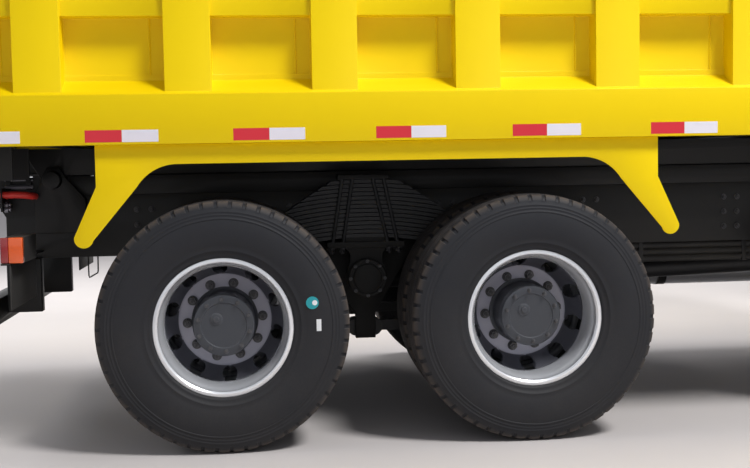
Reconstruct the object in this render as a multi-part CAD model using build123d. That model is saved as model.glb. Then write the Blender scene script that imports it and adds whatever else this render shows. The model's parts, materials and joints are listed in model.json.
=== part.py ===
# A three-axle tipping lorry with a cab over its engine: ladder frame, leaf-sprung bogie on a
# trunnion, ribbed steel tipping bed with a front telescopic ram, and a tilting cab.
# Millimetres. +X is forward, +Y is the lorry's left, +Z is up. The origin is on the ground,
# midway along the lorry and on its centre line.
from build123d import *
import os
from math import atan2, cos, degrees, hypot, pi, sin, sqrt

os.makedirs("parts", exist_ok=True)

# Clearances
seat_gap = 0.3             # round faces that turn or slide in each other
swing_gap = 6              # between pieces that move past each other

# Tyres and wheels
turning_flats = 36         # tyres, rims and hubs are turned in this many flats
tyre_radius = 542
tyre_width = 300
tread_width = 220
bead_radius = 287          # where the tyre sits on its rim
rim_flange_radius = 298
rim_half_width = 119
rim_lip = 9                # thickness of the rim's edge
rim_well_radius = 257      # inside of the rim's well
rim_seat_radius = 278
dual_spacing = 342         # between the middles of twin tyres
dual_middle_y = 915
disc_thickness = 14
disc_ring_radius = 205
disc_knee_radius = 243
hand_hole_count = 10
hand_hole_radius = 28
hand_hole_sides = 10
hand_hole_circle = 234
hub_radius = 134
hub_cap_inset = 75         # rim's outer edge back to the hub cap's face
drum_radius = 205
drum_wall = 14
drum_width = 190
spindle_radius = 60
front_tyre_y = 1010
front_hub_radius = 118
front_hub_reach = 55       # hub beyond the front wheel's disc
front_drum_width = 150
front_spindle_radius = 45

# Lengths along the lorry
bogie_spacing = 1350       # rear axle to middle axle
front_overhang = 1500
bumper_depth = 60          # bumper ahead of the cab's front
bed_overhang = 1441.5      # bed's rear edge behind the rear axle
rib_count = 10
rib_pitch = 613
rib_width = 193
hoist_space = 446.5        # bed's front edge to the cab's back
cab_length = 1900
tailgate_depth = 110

bed_length = rib_pitch * (rib_count - 1) + rib_width
length = tailgate_depth + swing_gap + bed_length + hoist_space + cab_length + bumper_depth
front_x = length / 2
cab_front_x = front_x - bumper_depth
cab_back_x = cab_front_x - cab_length
bed_front_x = cab_back_x - hoist_space
bed_rear_x = bed_front_x - bed_length
rear_axle_x = bed_rear_x + bed_overhang
middle_axle_x = rear_axle_x + bogie_spacing
front_axle_x = front_x - front_overhang
bogie_x = (rear_axle_x + middle_axle_x) / 2
axle_z = tyre_radius

# Ladder frame
rail_outer_y = 430
rail_flange = 80
rail_thickness = 8
rail_bottom_z = 800
rail_depth = 300
rail_rear_reach = 1047     # rail ends behind the rear axle
rail_front_setback = 175   # rail ends behind the bumper's face
cross_depth = 70
cross_height = 200
tow_hole_across = 160      # spacing of the tow coupling's holes
tow_hole_up = 100
tow_hole_radius = 10.5
guard_post_length = 162    # uprights of the rear guard, along the lorry
subframe_height = 90

rail_inner_y = rail_outer_y - rail_flange
rail_web_y = rail_outer_y - rail_thickness
rail_top_z = rail_bottom_z + rail_depth
rail_rear_x = rear_axle_x - rail_rear_reach
rail_front_x = front_x - rail_front_setback
subframe_top_z = rail_top_z + subframe_height

# Tipping hinge
hinge_behind_axle = 815
hinge_pin_radius = 35
hinge_boss_radius = 60
hinge_plate = 30
hinge_below_sill = 21
sill_lift = 5              # the bed's sills above the subframe

hinge_x = rear_axle_x - hinge_behind_axle
sill_bottom_z = subframe_top_z + sill_lift
hinge_z = sill_bottom_z - hinge_below_sill

# Bed
sill_height = 129
bearer_height = 106
floor_thickness = 8
bed_outer_y = 1244         # outer face of the lower side rail
side_rail_height = 206
ledge_rise = 63
ledge_strip = 24
panel_outer_y = 1124
panel_thickness = 6
rib_face_y = 1224
side_top_z = 2800
top_rail_height = 160
mid_beam_bottom_z = 1855
mid_beam_height = 155
mid_beam_setback = 20      # mid beam's face behind the ribs' faces
front_wall_setback = 86
front_wall_thickness = 6
front_wall_top_z = 2900
tip_angle = 45
skirt_ahead = 21           # valance's middle ahead of the bogie's
skirt_reach = 1207         # from the valance's middle to a leg's outer edge
skirt_tip_reach = 1303
skirt_tip_z = 895
skirt_eave_z = 1240
skirt_y = 1203
skirt_thickness = 6

side_bottom_z = sill_bottom_z + sill_height
floor_bottom_z = side_bottom_z + bearer_height
floor_top_z = floor_bottom_z + floor_thickness
panel_inner_y = panel_outer_y - panel_thickness
wall_x = bed_front_x - front_wall_setback + front_wall_thickness
rib_rear_edges = [bed_rear_x + rib_pitch * number for number in range(rib_count)]

# Tailgate
gate_pin_radius = 20
gate_pin_above_side = 60
gate_plate = 8
gate_bottom_z = side_bottom_z + 10
gate_pivot_x = bed_rear_x - 35
gate_pivot_z = side_top_z + gate_pin_above_side

# Telescopic ram
ram_ahead_of_bed = 230
ram_pivot_above_hinge = 650
ram_foot_below_hinge = 194
ram_foot_ahead = 35        # foot ahead of the upper pivot
ram_cover_radius = 95
ram_wall = 8
ram_trunnion_radius = 30
ram_eye_radius = 50
ram_eye_width = 60
ram_tube_length = 1520

# Bogie suspension
spring_y = 532
spring_width = 90
leaf_thickness = 18.4
leaf_gap = 1.7
leaf_turn = 0.07           # radians from one flat of a bent leaf to the next
leaf_arch_radius = 1627    # underside of the lowest leaf
leaf_bottom_z = 872
trunnion_z = 676
trunnion_radius = 60
trunnion_cap_radius = 95
bracket_plate = 30
tongue_bottom_z = 363

# Front axle and steering
front_spring_y = 390
kingpin_y = 880
kingpin_boss_radius = 45
beam_half_width = 50
steer_arm_back = 240
steer_arm_in = 60
steer_arm_z = 400

# Cab
cab_half_width = 1230
cab_wall = 45
cab_floor_z = 1290
cab_floor_thickness = 40
cab_skirt_z = 1010
cab_front_bottom_z = 950
cab_roof_z = 3020
cab_front_corner = 130     # radius in plan
cab_rear_corner = 60
cab_brow = 210             # radius between windscreen and roof
cab_roof_edge = 170        # radius along the roof's sides
cab_waist_z = 1900
cab_lean_in = 110          # sides lean in above the waist
screen_low_z = 1950
screen_high_z = 2860
screen_lean = 140          # windscreen leans back over its height
screen_frame = 60
screen_side = 170          # windscreen's edge inside the cab's side
screen_corner = 50
window_corner = 45
rear_window = (500, 2000, 2500)    # half width, low and high
door_low_z = 1060
door_top_z = 2780
door_length = 970
window_top_z = 2680
window_length = 770
seat_in = 610              # a seat's middle inside the cab's side
arch_radius = 690
door_gap = 6
door_angle = 70
door_behind_front = 140    # the door's front edge behind the cab's front
glass_thickness = 6
cab_pivot_back = 100       # tilt pivot behind the cab's front
cab_pivot_z = 1010
cab_pin_radius = 20
cab_ear_y = 560
cab_ear_width = 40
cab_tilt_angle = 45
bumper_drop = 60           # bumper's top below the cab's front edge, for the tilting cab
gate_angle = 50

cab_pivot_x = cab_front_x - cab_pivot_back
door_edge_x = cab_front_x - door_behind_front
door_hinge_x = door_edge_x - door_gap
door_hinge_y = cab_half_width
door_hinge_radius = 14
door_hinge_length = 50
door_hinge_heights = (1400, 1800)


def block(x, y, z):
    # A rectangular piece between limits, each given as (low, high)
    spans = [high - low for low, high in (x, y, z)]
    middles = [(high + low) / 2 for low, high in (x, y, z)]
    return Pos(*middles) * Box(*spans)


def side_solid(face, y):
    # A face of (x, z) pulled across the lorry between y = (low, high)
    return Pos(0, y[1], 0) * extrude(Plane.XZ * face, y[1] - y[0])


def front_solid(face, x):
    # A face of (y, z) pulled along the lorry between x = (low, high)
    return Pos(x[0], 0, 0) * extrude(Plane.YZ * face, x[1] - x[0])


def plan_solid(face, z):
    # A face of (x, y) pulled up between z = (low, high)
    return Pos(0, 0, z[0]) * extrude(face, z[1] - z[0])


def outline(points):
    return make_face(Polyline(*points, close=True))


def side_shape(points, y):
    return side_solid(outline(points), y)


def front_shape(points, x):
    return front_solid(outline(points), x)


def rounded(corners):
    # An outline from (across, up, radius) corners, 0 for a sharp one
    face = outline([corner[:2] for corner in corners])
    for across, up, radius in corners:
        if radius:
            vertex = face.vertices().sort_by_distance(Vector(across, up))[0]
            face = fillet(vertex, radius)
    return face


def bar_x(y, z, radius, x):
    return Pos((x[0] + x[1]) / 2, y, z) * Rot(0, 90, 0) * Cylinder(radius, x[1] - x[0])


def bar_y(x, z, radius, y):
    return Pos(x, (y[0] + y[1]) / 2, z) * Rot(90, 0, 0) * Cylinder(radius, y[1] - y[0])


def bar_z(x, y, radius, z):
    return Pos(x, y, (z[0] + z[1]) / 2) * Cylinder(radius, z[1] - z[0])


def bar_between(start, end, radius):
    # A round bar from one point to another
    path = Line(start, end)
    return sweep(Plane(origin=start, z_dir=path @ 1 - path @ 0) * Circle(radius), path)


def turned(profile, x, z):
    # A closed profile of (radius, y) points turned about a cross axle at x and z
    return Pos(x, 0, z) * revolve(make_face(Polyline(*profile, close=True)), Axis.Y)


def other_side(shape):
    return mirror(shape, Plane.XZ)


def both_sides(shape):
    return [shape, other_side(shape)]


def save(node, *pieces):
    # Writes the solids of one node to its own file
    solids = [solid for piece in pieces for solid in piece.solids()]
    shape = solids[0] if len(solids) == 1 else Compound(solids)
    export_step(shape, f"parts/{node}.step")


# Tyres and wheels

def flat_turned(profile):
    # A closed profile of (radius, y) points turned in flats about the Y axis
    step = 2 * pi / turning_flats
    out = 1 / cos(step / 2)
    faces = []
    for number in range(turning_flats):
        turns = [(number - 0.5) * step, (number + 0.5) * step]
        for (near, near_y), (far, far_y) in zip(profile, profile[1:] + profile[:1]):
            corners = [(near * out * cos(turns[0]), near_y, near * out * sin(turns[0]))]
            if far:
                corners.append((far * out * cos(turns[0]), far_y, far * out * sin(turns[0])))
            corners.append((far * out * cos(turns[1]), far_y, far * out * sin(turns[1])))
            if near:
                corners.append((near * out * cos(turns[1]), near_y, near * out * sin(turns[1])))
            if near or far:
                faces.append(Face(Wire.make_polygon(corners)))
    return Solid(Shell(faces))


def mirrored_profile(points):
    return [(radius, -y) for radius, y in reversed(points)]


def tyre():
    # One tyre round the origin: tread, shoulders, sidewalls and bore, as (radius, y) of one half
    half = tyre_width / 2
    section = [
        (bead_radius + seat_gap, rim_half_width - 17),
        (tyre_radius - 127, half),
        (tyre_radius - 30, half - 12),
        (tyre_radius, tread_width / 2),
    ]
    return flat_turned(section + mirrored_profile(section))


def drilled(wheel, reach):
    # Hand holes through the disc, each between the flats' corners
    drill = extrude(Plane.XZ * RegularPolygon(hand_hole_radius, hand_hole_sides), reach, both=True)
    drill = Pos(hand_hole_circle, 0, 0) * drill
    return wheel - [Rot(0, 360 / hand_hole_count * number, 0) * drill for number in range(hand_hole_count)]


def rear_wheel():
    # A twin wheel: hub cap, disc, both rims and brake drum in one profile, y out from its middle
    middle = dual_spacing / 2
    lip = middle + rim_half_width
    cap = lip - hub_cap_inset
    drum_face = -2 * disc_thickness
    drum_edge = -disc_thickness - drum_width
    outer = [
        (disc_ring_radius, disc_thickness),
        (disc_knee_radius, disc_thickness + 58),
        (rim_well_radius, middle - 42),
        (rim_well_radius, middle + 50),
        (rim_seat_radius, middle + 80),
        (rim_seat_radius, lip - 22),
        (rim_flange_radius - rim_lip, lip),
        (rim_flange_radius, lip),
        (rim_flange_radius, lip - 12),
        (bead_radius, lip - 12),
    ]
    hub = [(0, cap), (hub_radius, cap), (hub_radius, disc_thickness)]
    hidden = [outer[4], outer[5]]
    inner = mirrored_profile([point for point in outer if point not in hidden])
    drum = [
        (drum_radius, drum_edge),
        (drum_radius - drum_wall, drum_edge),
        (drum_radius - drum_wall, drum_face),
        (0, drum_face),
    ]
    wheel = drilled(flat_turned(hub + outer + inner + drum), lip + 1)
    return wheel - bar_y(0, 0, spindle_radius + seat_gap, (drum_face, 0))


def front_wheel():
    # A single wheel with its disc outwards, hub and brake drum, y out from the tyre's middle
    disc = dual_spacing / 2
    lip = rim_half_width
    back = disc - disc_thickness
    reach = disc + front_hub_reach
    drum_edge = back - front_drum_width
    profile = [
        (0, reach),
        (front_hub_radius - 30, reach),
        (front_hub_radius, reach - 30),
        (front_hub_radius, disc),
        (disc_ring_radius, disc),
        (disc_knee_radius, disc - 58),
        (rim_well_radius, lip - 63),
        (rim_seat_radius, lip - 50),
        (rim_seat_radius, lip - 22),
        (rim_flange_radius - rim_lip, lip),
        (rim_flange_radius, lip),
        (rim_flange_radius, lip - 12),
        (bead_radius, lip - 12),
        (bead_radius, 12 - lip),
        (rim_flange_radius, 12 - lip),
        (rim_flange_radius, -lip),
        (rim_flange_radius - rim_lip, -lip),
        (rim_well_radius, -50),
        (rim_well_radius, 20),
        (disc_knee_radius - 8, back - 70),
        (disc_ring_radius + 8, back),
        (drum_radius, back),
        (drum_radius, drum_edge),
        (drum_radius - drum_wall, drum_edge),
        (drum_radius - drum_wall, back - drum_wall),
        (0, back - drum_wall),
    ]
    wheel = drilled(flat_turned(profile), reach)
    return wheel - bar_y(0, 0, front_spindle_radius + seat_gap, (back - drum_wall, disc))


def make_wheels():
    one_tyre = tyre()
    twin = rear_wheel()
    single = front_wheel()
    outer_y = dual_middle_y + dual_spacing / 2
    inner_y = dual_middle_y - dual_spacing / 2
    front = Pos(front_axle_x, front_tyre_y, axle_z)
    sets = [("front_wheel", [front * single]), ("front_tyre", [front * one_tyre])]
    for axle, x in (("middle", middle_axle_x), ("rear", rear_axle_x)):
        sets.append((f"{axle}_wheels", [Pos(x, dual_middle_y, axle_z) * twin]))
        sets.append((f"{axle}_tyres", [Pos(x, y, axle_z) * one_tyre for y in (outer_y, inner_y)]))
    for name, pieces in sets:
        save(f"{name}_left", *pieces)
        save(f"{name}_right", *[other_side(piece) for piece in pieces])


# Ladder frame

def frame_rail():
    channel = [
        (rail_outer_y, rail_bottom_z),
        (rail_inner_y, rail_bottom_z),
        (rail_inner_y, rail_bottom_z + rail_thickness),
        (rail_web_y, rail_bottom_z + rail_thickness),
        (rail_web_y, rail_top_z - rail_thickness),
        (rail_inner_y, rail_top_z - rail_thickness),
        (rail_inner_y, rail_top_z),
        (rail_outer_y, rail_top_z),
    ]
    return front_shape(channel, (rail_rear_x, rail_front_x))


def crossmember(x):
    # A channel across the frame, open to the rear
    low_z = rail_bottom_z + (rail_depth - cross_height) / 2
    high_z = low_z + cross_height
    channel = [
        (x, low_z),
        (x + cross_depth, low_z),
        (x + cross_depth, high_z),
        (x, high_z),
        (x, high_z - rail_thickness),
        (x + cross_depth - rail_thickness, high_z - rail_thickness),
        (x + cross_depth - rail_thickness, low_z + rail_thickness),
        (x, low_z + rail_thickness),
    ]
    return side_shape(channel, (-rail_web_y, rail_web_y))


def rear_crossmember():
    # The last one faces rearwards and carries the four holes for a tow coupling
    x = rail_rear_x + 20
    member = Pos(2 * x + cross_depth, 0, 0) * mirror(crossmember(x), Plane.YZ)
    middle_z = rail_bottom_z + rail_depth / 2
    for y in (-tow_hole_across / 2, tow_hole_across / 2):
        for z in (-tow_hole_up / 2, tow_hole_up / 2):
            member -= bar_x(y, middle_z + z, tow_hole_radius, (x - 1, x + cross_depth + 1))
    return member


def make_cab_mounts():
    # Tilt pivots at the frame's front, and two pads behind for the lowered cab
    x = cab_pivot_x
    plate_y = (cab_ear_y + cab_ear_width + swing_gap, cab_ear_y + cab_ear_width + swing_gap + 30)
    low = cab_pivot_z - 130
    shelf = block((x - 120, x - 52), (rail_outer_y, plate_y[1]), (low, cab_pivot_z - 66))
    outline = [
        (x - 110, low),
        (x - 52, low),
        (x + 32, cab_pivot_z - 20),
        (x + 32, cab_pivot_z + 30),
        (x - 38, cab_pivot_z + 38),
        (x - 110, cab_pivot_z - 40),
    ]
    post = side_shape(outline, plate_y)
    pin = bar_y(x, cab_pivot_z, cab_pin_radius, (cab_ear_y - 8, plate_y[0] + 5))
    pad = block((cab_back_x + 40, cab_back_x + 110), (rail_inner_y, rail_outer_y), (rail_top_z, cab_floor_z))
    front = shelf + post + pin
    save("cab_mounts", front, other_side(front), pad, other_side(pad))


def make_frame():
    rail = frame_rail()
    save("frame_rails", rail, other_side(rail))
    places = [
        rear_axle_x + 250,
        bogie_x - 150,
        bogie_x + 80,
        middle_axle_x + 700,
        (middle_axle_x + front_axle_x) / 2 + 200,
        ram_foot_x - 400,
        front_x - 250,
    ]
    save("frame_crossmembers", rear_crossmember(), *[crossmember(x) for x in places])


def make_subframe():
    # Two box runners on top of the rails, under the bed's sills
    rear = hinge_x + hinge_boss_radius + 15
    front = bed_front_x
    runner = block((rear, front), (rail_inner_y, rail_outer_y), (rail_top_z, subframe_top_z))
    tie_z = (rail_top_z + 10, subframe_top_z - 10)
    ties = [
        block((x, x + cross_depth), (-rail_inner_y, rail_inner_y), tie_z)
        for x in (rear + 60, bogie_x, bed_front_x - 900)
    ]
    save("bed_subframe", runner + other_side(runner) + ties)


def make_tipping_hinge():
    # One long pin in two plates bolted to the rails' outer faces
    outline = [
        (hinge_x - 90, rail_top_z - 180),
        (hinge_x + 150, rail_top_z - 180),
        (hinge_x + 150, rail_top_z - 20),
        (hinge_x + hinge_boss_radius, hinge_z + 10),
        (hinge_x + 30, hinge_z + hinge_boss_radius),
        (hinge_x - 30, hinge_z + hinge_boss_radius),
        (hinge_x - hinge_boss_radius, hinge_z + 10),
        (hinge_x - 90, rail_top_z - 20),
    ]
    plate_y = (rail_outer_y, rail_outer_y + hinge_plate)
    plate = side_shape(outline, plate_y)
    plate += bar_y(hinge_x, hinge_z, hinge_boss_radius - 18, (plate_y[1], plate_y[1] + 58))
    pin = bar_y(hinge_x, hinge_z, hinge_pin_radius, (-plate_y[1], plate_y[1]))
    save("tipping_hinge", plate + other_side(plate) + pin)


# Bed

def make_bed_floor():
    sill_top_z = side_bottom_z
    sill_rear = hinge_x - 150
    sill = side_shape(
        [
            (sill_rear, sill_top_z),
            (hinge_x - hinge_boss_radius, hinge_z),
            (hinge_x, hinge_z),
            (hinge_x + hinge_boss_radius, sill_bottom_z),
            (wall_x, sill_bottom_z),
            (wall_x, sill_top_z),
        ],
        (rail_inner_y, rail_outer_y - swing_gap),
    )
    boss_y = (rail_inner_y, rail_outer_y - swing_gap)
    sill += bar_y(hinge_x, hinge_z, hinge_boss_radius, boss_y)
    sill -= bar_y(hinge_x, hinge_z, hinge_pin_radius + seat_gap, boss_y)
    plate_x = (bed_rear_x, wall_x - front_wall_thickness)
    plate = block(plate_x, (-panel_inner_y, panel_inner_y), (floor_bottom_z, floor_top_z))
    bearer_z = (side_bottom_z, floor_bottom_z)
    bearers = [
        block((x + rib_width / 2 - 40, x + rib_width / 2 + 40), (-panel_inner_y, panel_inner_y), bearer_z)
        for x in rib_rear_edges
        if x + rib_width / 2 + 40 < wall_x
    ]
    end_bearer = block((bed_rear_x, bed_rear_x + 30), (-panel_inner_y, panel_inner_y), bearer_z)
    front_bearer = block((wall_x - 40, wall_x), (-panel_inner_y, panel_inner_y), bearer_z)
    save("bed_floor", plate + bearers + end_bearer + front_bearer + sill + other_side(sill))


def bed_side():
    # Lower side rail with its sloped ledge, panel, mid beam and top rail, then the ribs
    ledge_z = side_bottom_z + side_rail_height
    strip_z = ledge_z + ledge_rise
    beam_y = rib_face_y - mid_beam_setback
    section = [
        (panel_inner_y, side_bottom_z),
        (bed_outer_y, side_bottom_z),
        (bed_outer_y, ledge_z),
        (panel_outer_y + panel_thickness, strip_z),
        (panel_outer_y + panel_thickness, strip_z + ledge_strip),
        (panel_outer_y, strip_z + ledge_strip),
        (panel_outer_y, mid_beam_bottom_z),
        (beam_y, mid_beam_bottom_z),
        (beam_y, mid_beam_bottom_z + mid_beam_height),
        (panel_outer_y, mid_beam_bottom_z + mid_beam_height),
        (panel_outer_y, side_top_z - top_rail_height),
        (rib_face_y, side_top_z - top_rail_height),
        (rib_face_y, side_top_z),
        (panel_inner_y, side_top_z),
    ]
    side = front_shape(section, (bed_rear_x, bed_front_x))
    rib_z = (ledge_z, side_top_z - top_rail_height)
    ribs = [block((x, x + rib_width), (panel_outer_y, rib_face_y), rib_z) for x in rib_rear_edges]
    ear = side_shape(
        [
            (gate_pivot_x - 30, gate_pivot_z - 20),
            (bed_rear_x, side_top_z - 25),
            (bed_rear_x + 220, side_top_z),
            (gate_pivot_x + 40, gate_pivot_z + 40),
            (gate_pivot_x - 30, gate_pivot_z + 40),
        ],
        (panel_inner_y, panel_inner_y + 30),
    )
    pin = bar_y(gate_pivot_x, gate_pivot_z, gate_pin_radius, (panel_inner_y - 60, panel_inner_y))
    return side + ribs + ear + pin


def make_bed_front_wall():
    rear = wall_x - front_wall_thickness
    half = panel_inner_y
    wall = block((rear, wall_x), (-half, half), (floor_bottom_z, front_wall_top_z))
    post_z = (floor_bottom_z, front_wall_top_z)
    posts = [
        block((wall_x, bed_front_x), (side * y - 40, side * y + 40), post_z)
        for side in (1, -1)
        for y in (half - 40, half * 0.55)
    ]
    cap = block((wall_x, bed_front_x), (-half, half), (front_wall_top_z - 120, front_wall_top_z))
    pivot_x = bed_front_x + ram_ahead_of_bed
    pivot_z = hinge_z + ram_pivot_above_hinge
    ear_y = (ram_cover_radius + 35, ram_cover_radius + 65)
    ear = side_shape(
        [
            (wall_x, pivot_z - 260),
            (pivot_x - 40, pivot_z - 60),
            (pivot_x + 40, pivot_z - 60),
            (pivot_x + 60, pivot_z - 30),
            (pivot_x + 60, pivot_z + 30),
            (pivot_x + 40, pivot_z + 60),
            (pivot_x - 40, pivot_z + 60),
            (wall_x, pivot_z + 260),
        ],
        ear_y,
    )
    ear -= bar_y(pivot_x, pivot_z, ram_trunnion_radius + seat_gap, ear_y)
    save("bed_front_wall", wall + posts + cap + ear + other_side(ear))


def make_wheel_skirts():
    # The valance over the twin wheels with a leg at each end, out from its own middle
    middle = bogie_x + skirt_ahead
    tip = (skirt_tip_reach, skirt_tip_z + 45)
    tip_low = (skirt_tip_reach - 38, skirt_tip_z)
    tip_back = (skirt_tip_reach - 78, skirt_tip_z + 30)
    bend = (1040, 1145)
    turn = (978, 1208)
    eave = (860, skirt_eave_z)
    half = Polyline((0, side_bottom_z), (skirt_reach, side_bottom_z), (skirt_reach, 1150), tip)
    half += ThreePointArc(tip, tip_low, tip_back)
    half += Line(tip_back, bend)
    half += ThreePointArc(bend, turn, eave)
    half += Line(eave, (0, skirt_eave_z))
    face = make_face([*half.edges(), *mirror(half, Plane.YZ).edges()])
    skirt = Pos(middle, 0, 0) * side_solid(face, (skirt_y, skirt_y + skirt_thickness))
    save("bed_wheel_skirts", skirt, other_side(skirt))


def make_bed():
    make_bed_floor()
    side = bed_side()
    save("bed_side_left", side)
    save("bed_side_right", other_side(side))
    make_bed_front_wall()
    make_wheel_skirts()


def make_tailgate():
    inner_x = bed_rear_x - swing_gap
    outer_x = inner_x - tailgate_depth
    half = bed_outer_y - 4
    top_z = side_top_z - 40
    gate = block((inner_x - gate_plate, inner_x), (-half, half), (gate_bottom_z, top_z))
    frame_x = (outer_x, inner_x - gate_plate)
    gate += block(frame_x, (-half, half), (gate_bottom_z, gate_bottom_z + 150))
    gate += block(frame_x, (-half, half), (top_z - 130, top_z))
    ribs = 6
    for number in range(ribs):
        y = -half + (2 * half - 110) * number / (ribs - 1)
        gate += block(frame_x, (y, y + 110), (gate_bottom_z, top_z))
    arm_y = (panel_inner_y - 52, panel_inner_y - swing_gap)
    arm = side_shape(
        [
            (outer_x, top_z - 60),
            (inner_x, top_z - 60),
            (gate_pivot_x + 30, gate_pivot_z - 20),
            (gate_pivot_x + 30, gate_pivot_z + 20),
            (gate_pivot_x - 20, gate_pivot_z + 36),
            (gate_pivot_x - 50, gate_pivot_z + 20),
        ],
        arm_y,
    )
    arm -= bar_y(gate_pivot_x, gate_pivot_z, gate_pin_radius + seat_gap, arm_y)
    save("tailgate", gate + arm + other_side(arm))


# Telescopic ram

ram_foot_x = bed_front_x + ram_ahead_of_bed + ram_foot_ahead
ram_foot_z = hinge_z - ram_foot_below_hinge
ram_rest_length = hypot(ram_foot_ahead, ram_pivot_above_hinge + ram_foot_below_hinge)
ram_lean = degrees(atan2(-ram_foot_ahead, ram_pivot_above_hinge + ram_foot_below_hinge))


def stand_ram(shape):
    # From upright at the origin to its place on the foot
    return Pos(ram_foot_x, 0, ram_foot_z) * Rot(0, ram_lean, 0) * shape


def make_ram():
    start = ram_eye_radius + 20
    outer = ram_cover_radius
    step = ram_wall + seat_gap
    cover_low = start + 60
    cover_high = cover_low + ram_tube_length + 30
    cover = bar_z(0, 0, outer, (cover_low, cover_high))
    cover -= bar_z(0, 0, outer - ram_wall, (cover_low, cover_high - 20))
    reach = ram_cover_radius + 80
    stub = bar_y(0, ram_rest_length, ram_trunnion_radius, (outer - 4, reach))
    cover += stub + other_side(stub)
    save("ram_cover", stand_ram(cover))
    for number, name in ((1, "ram_stage_one"), (2, "ram_stage_two")):
        radius = outer - step * number
        low = cover_low - 20 * number
        tube = bar_z(0, 0, radius, (low, low + ram_tube_length))
        tube -= bar_z(0, 0, radius - ram_wall, (low, low + ram_tube_length))
        save(name, stand_ram(tube))
    rod_radius = outer - step * 3
    rod = bar_z(0, 0, rod_radius, (start, start + ram_tube_length))
    eye = bar_y(0, 0, ram_eye_radius, (-ram_eye_width / 2, ram_eye_width / 2))
    eye += block((-35, 35), (-ram_eye_width / 2, ram_eye_width / 2), (0, start))
    eye -= bar_y(0, 0, ram_eye_radius / 2, (-ram_eye_width / 2, ram_eye_width / 2))
    save("ram_rod", stand_ram(rod + eye))
    base_z = (rail_bottom_z + 20, ram_foot_z - ram_eye_radius - 40)
    foot = block((ram_foot_x - 90, ram_foot_x + 90), (-rail_web_y, rail_web_y), base_z)
    ear_y = (ram_eye_width / 2 + swing_gap, ram_eye_width / 2 + swing_gap + 25)
    ear = side_shape(
        [
            (ram_foot_x - 80, base_z[1]),
            (ram_foot_x + 80, base_z[1]),
            (ram_foot_x + 45, ram_foot_z + 45),
            (ram_foot_x - 45, ram_foot_z + 45),
        ],
        ear_y,
    )
    ear -= bar_y(ram_foot_x, ram_foot_z, ram_eye_radius / 2, ear_y)
    save("ram_foot_bracket", foot + ear + other_side(ear))


# Bogie suspension and rear axles

def make_trunnion():
    # Cast bracket on each rail, the cross shaft and the lower tongue for the torque rods
    plate_y = (rail_outer_y, rail_outer_y + bracket_plate)
    plate = side_shape(
        [
            (bogie_x - 260, rail_top_z - 60),
            (bogie_x - 260, rail_bottom_z + 40),
            (bogie_x - 150, trunnion_z - 20),
            (bogie_x - 50, tongue_bottom_z + 125),
            (bogie_x - 50, tongue_bottom_z),
            (bogie_x + 50, tongue_bottom_z),
            (bogie_x + 50, tongue_bottom_z + 125),
            (bogie_x + 150, trunnion_z - 20),
            (bogie_x + 260, rail_bottom_z + 40),
            (bogie_x + 260, rail_top_z - 60),
        ],
        plate_y,
    )
    end_y = spring_y + spring_width / 2
    cap = bar_y(bogie_x, trunnion_z, trunnion_cap_radius, (end_y + 1, end_y + 34))
    shaft = bar_y(bogie_x, trunnion_z, trunnion_radius, (rail_outer_y - 10, end_y + 10))
    tie_z = (tongue_bottom_z + 125, tongue_bottom_z + 185)
    tie = block((bogie_x - 60, bogie_x + 60), (-plate_y[0], plate_y[0]), tie_z)
    side = plate + shaft + cap
    save("bogie_trunnion", side + other_side(side) + tie)


def bent_leaf(middle, radius, half_length, width_y, upward):
    # One leaf bent in flats about a far centre, its near face this far out; upward ends for a sag
    sign = -1 if upward else 1
    centre_z = middle[1] - sign * radius
    end = half_length / radius
    count = int(end / leaf_turn + 0.5)
    aims = [-end, *[(number + 0.5) * leaf_turn for number in range(-count, count)], end]
    near, far = [], []
    for aim in aims:
        off_middle = aim - leaf_turn * round(aim / leaf_turn)
        for row, reach in ((near, radius), (far, radius + leaf_thickness)):
            out = reach / cos(off_middle)
            row.append((middle[0] + out * sin(aim), centre_z + sign * out * cos(aim)))
    return side_shape(near + far[::-1], width_y)


def leaf_pack():
    # Leaves from the lowest up, (half length along the lorry)
    half_lengths = [700, 700, 660, 620, 575, 530, 485, 440, 400, 355, 312, 270, 230, 186]
    width_y = (spring_y - spring_width / 2, spring_y + spring_width / 2)
    pack = block((bogie_x - 45, bogie_x + 45), width_y, (leaf_bottom_z + 2, leaf_bottom_z + 275))
    for number, half in enumerate(half_lengths):
        rise = number * (leaf_thickness + leaf_gap)
        pack += bent_leaf((bogie_x, leaf_bottom_z + rise), leaf_arch_radius + rise, half, width_y, False)
    return pack


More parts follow.
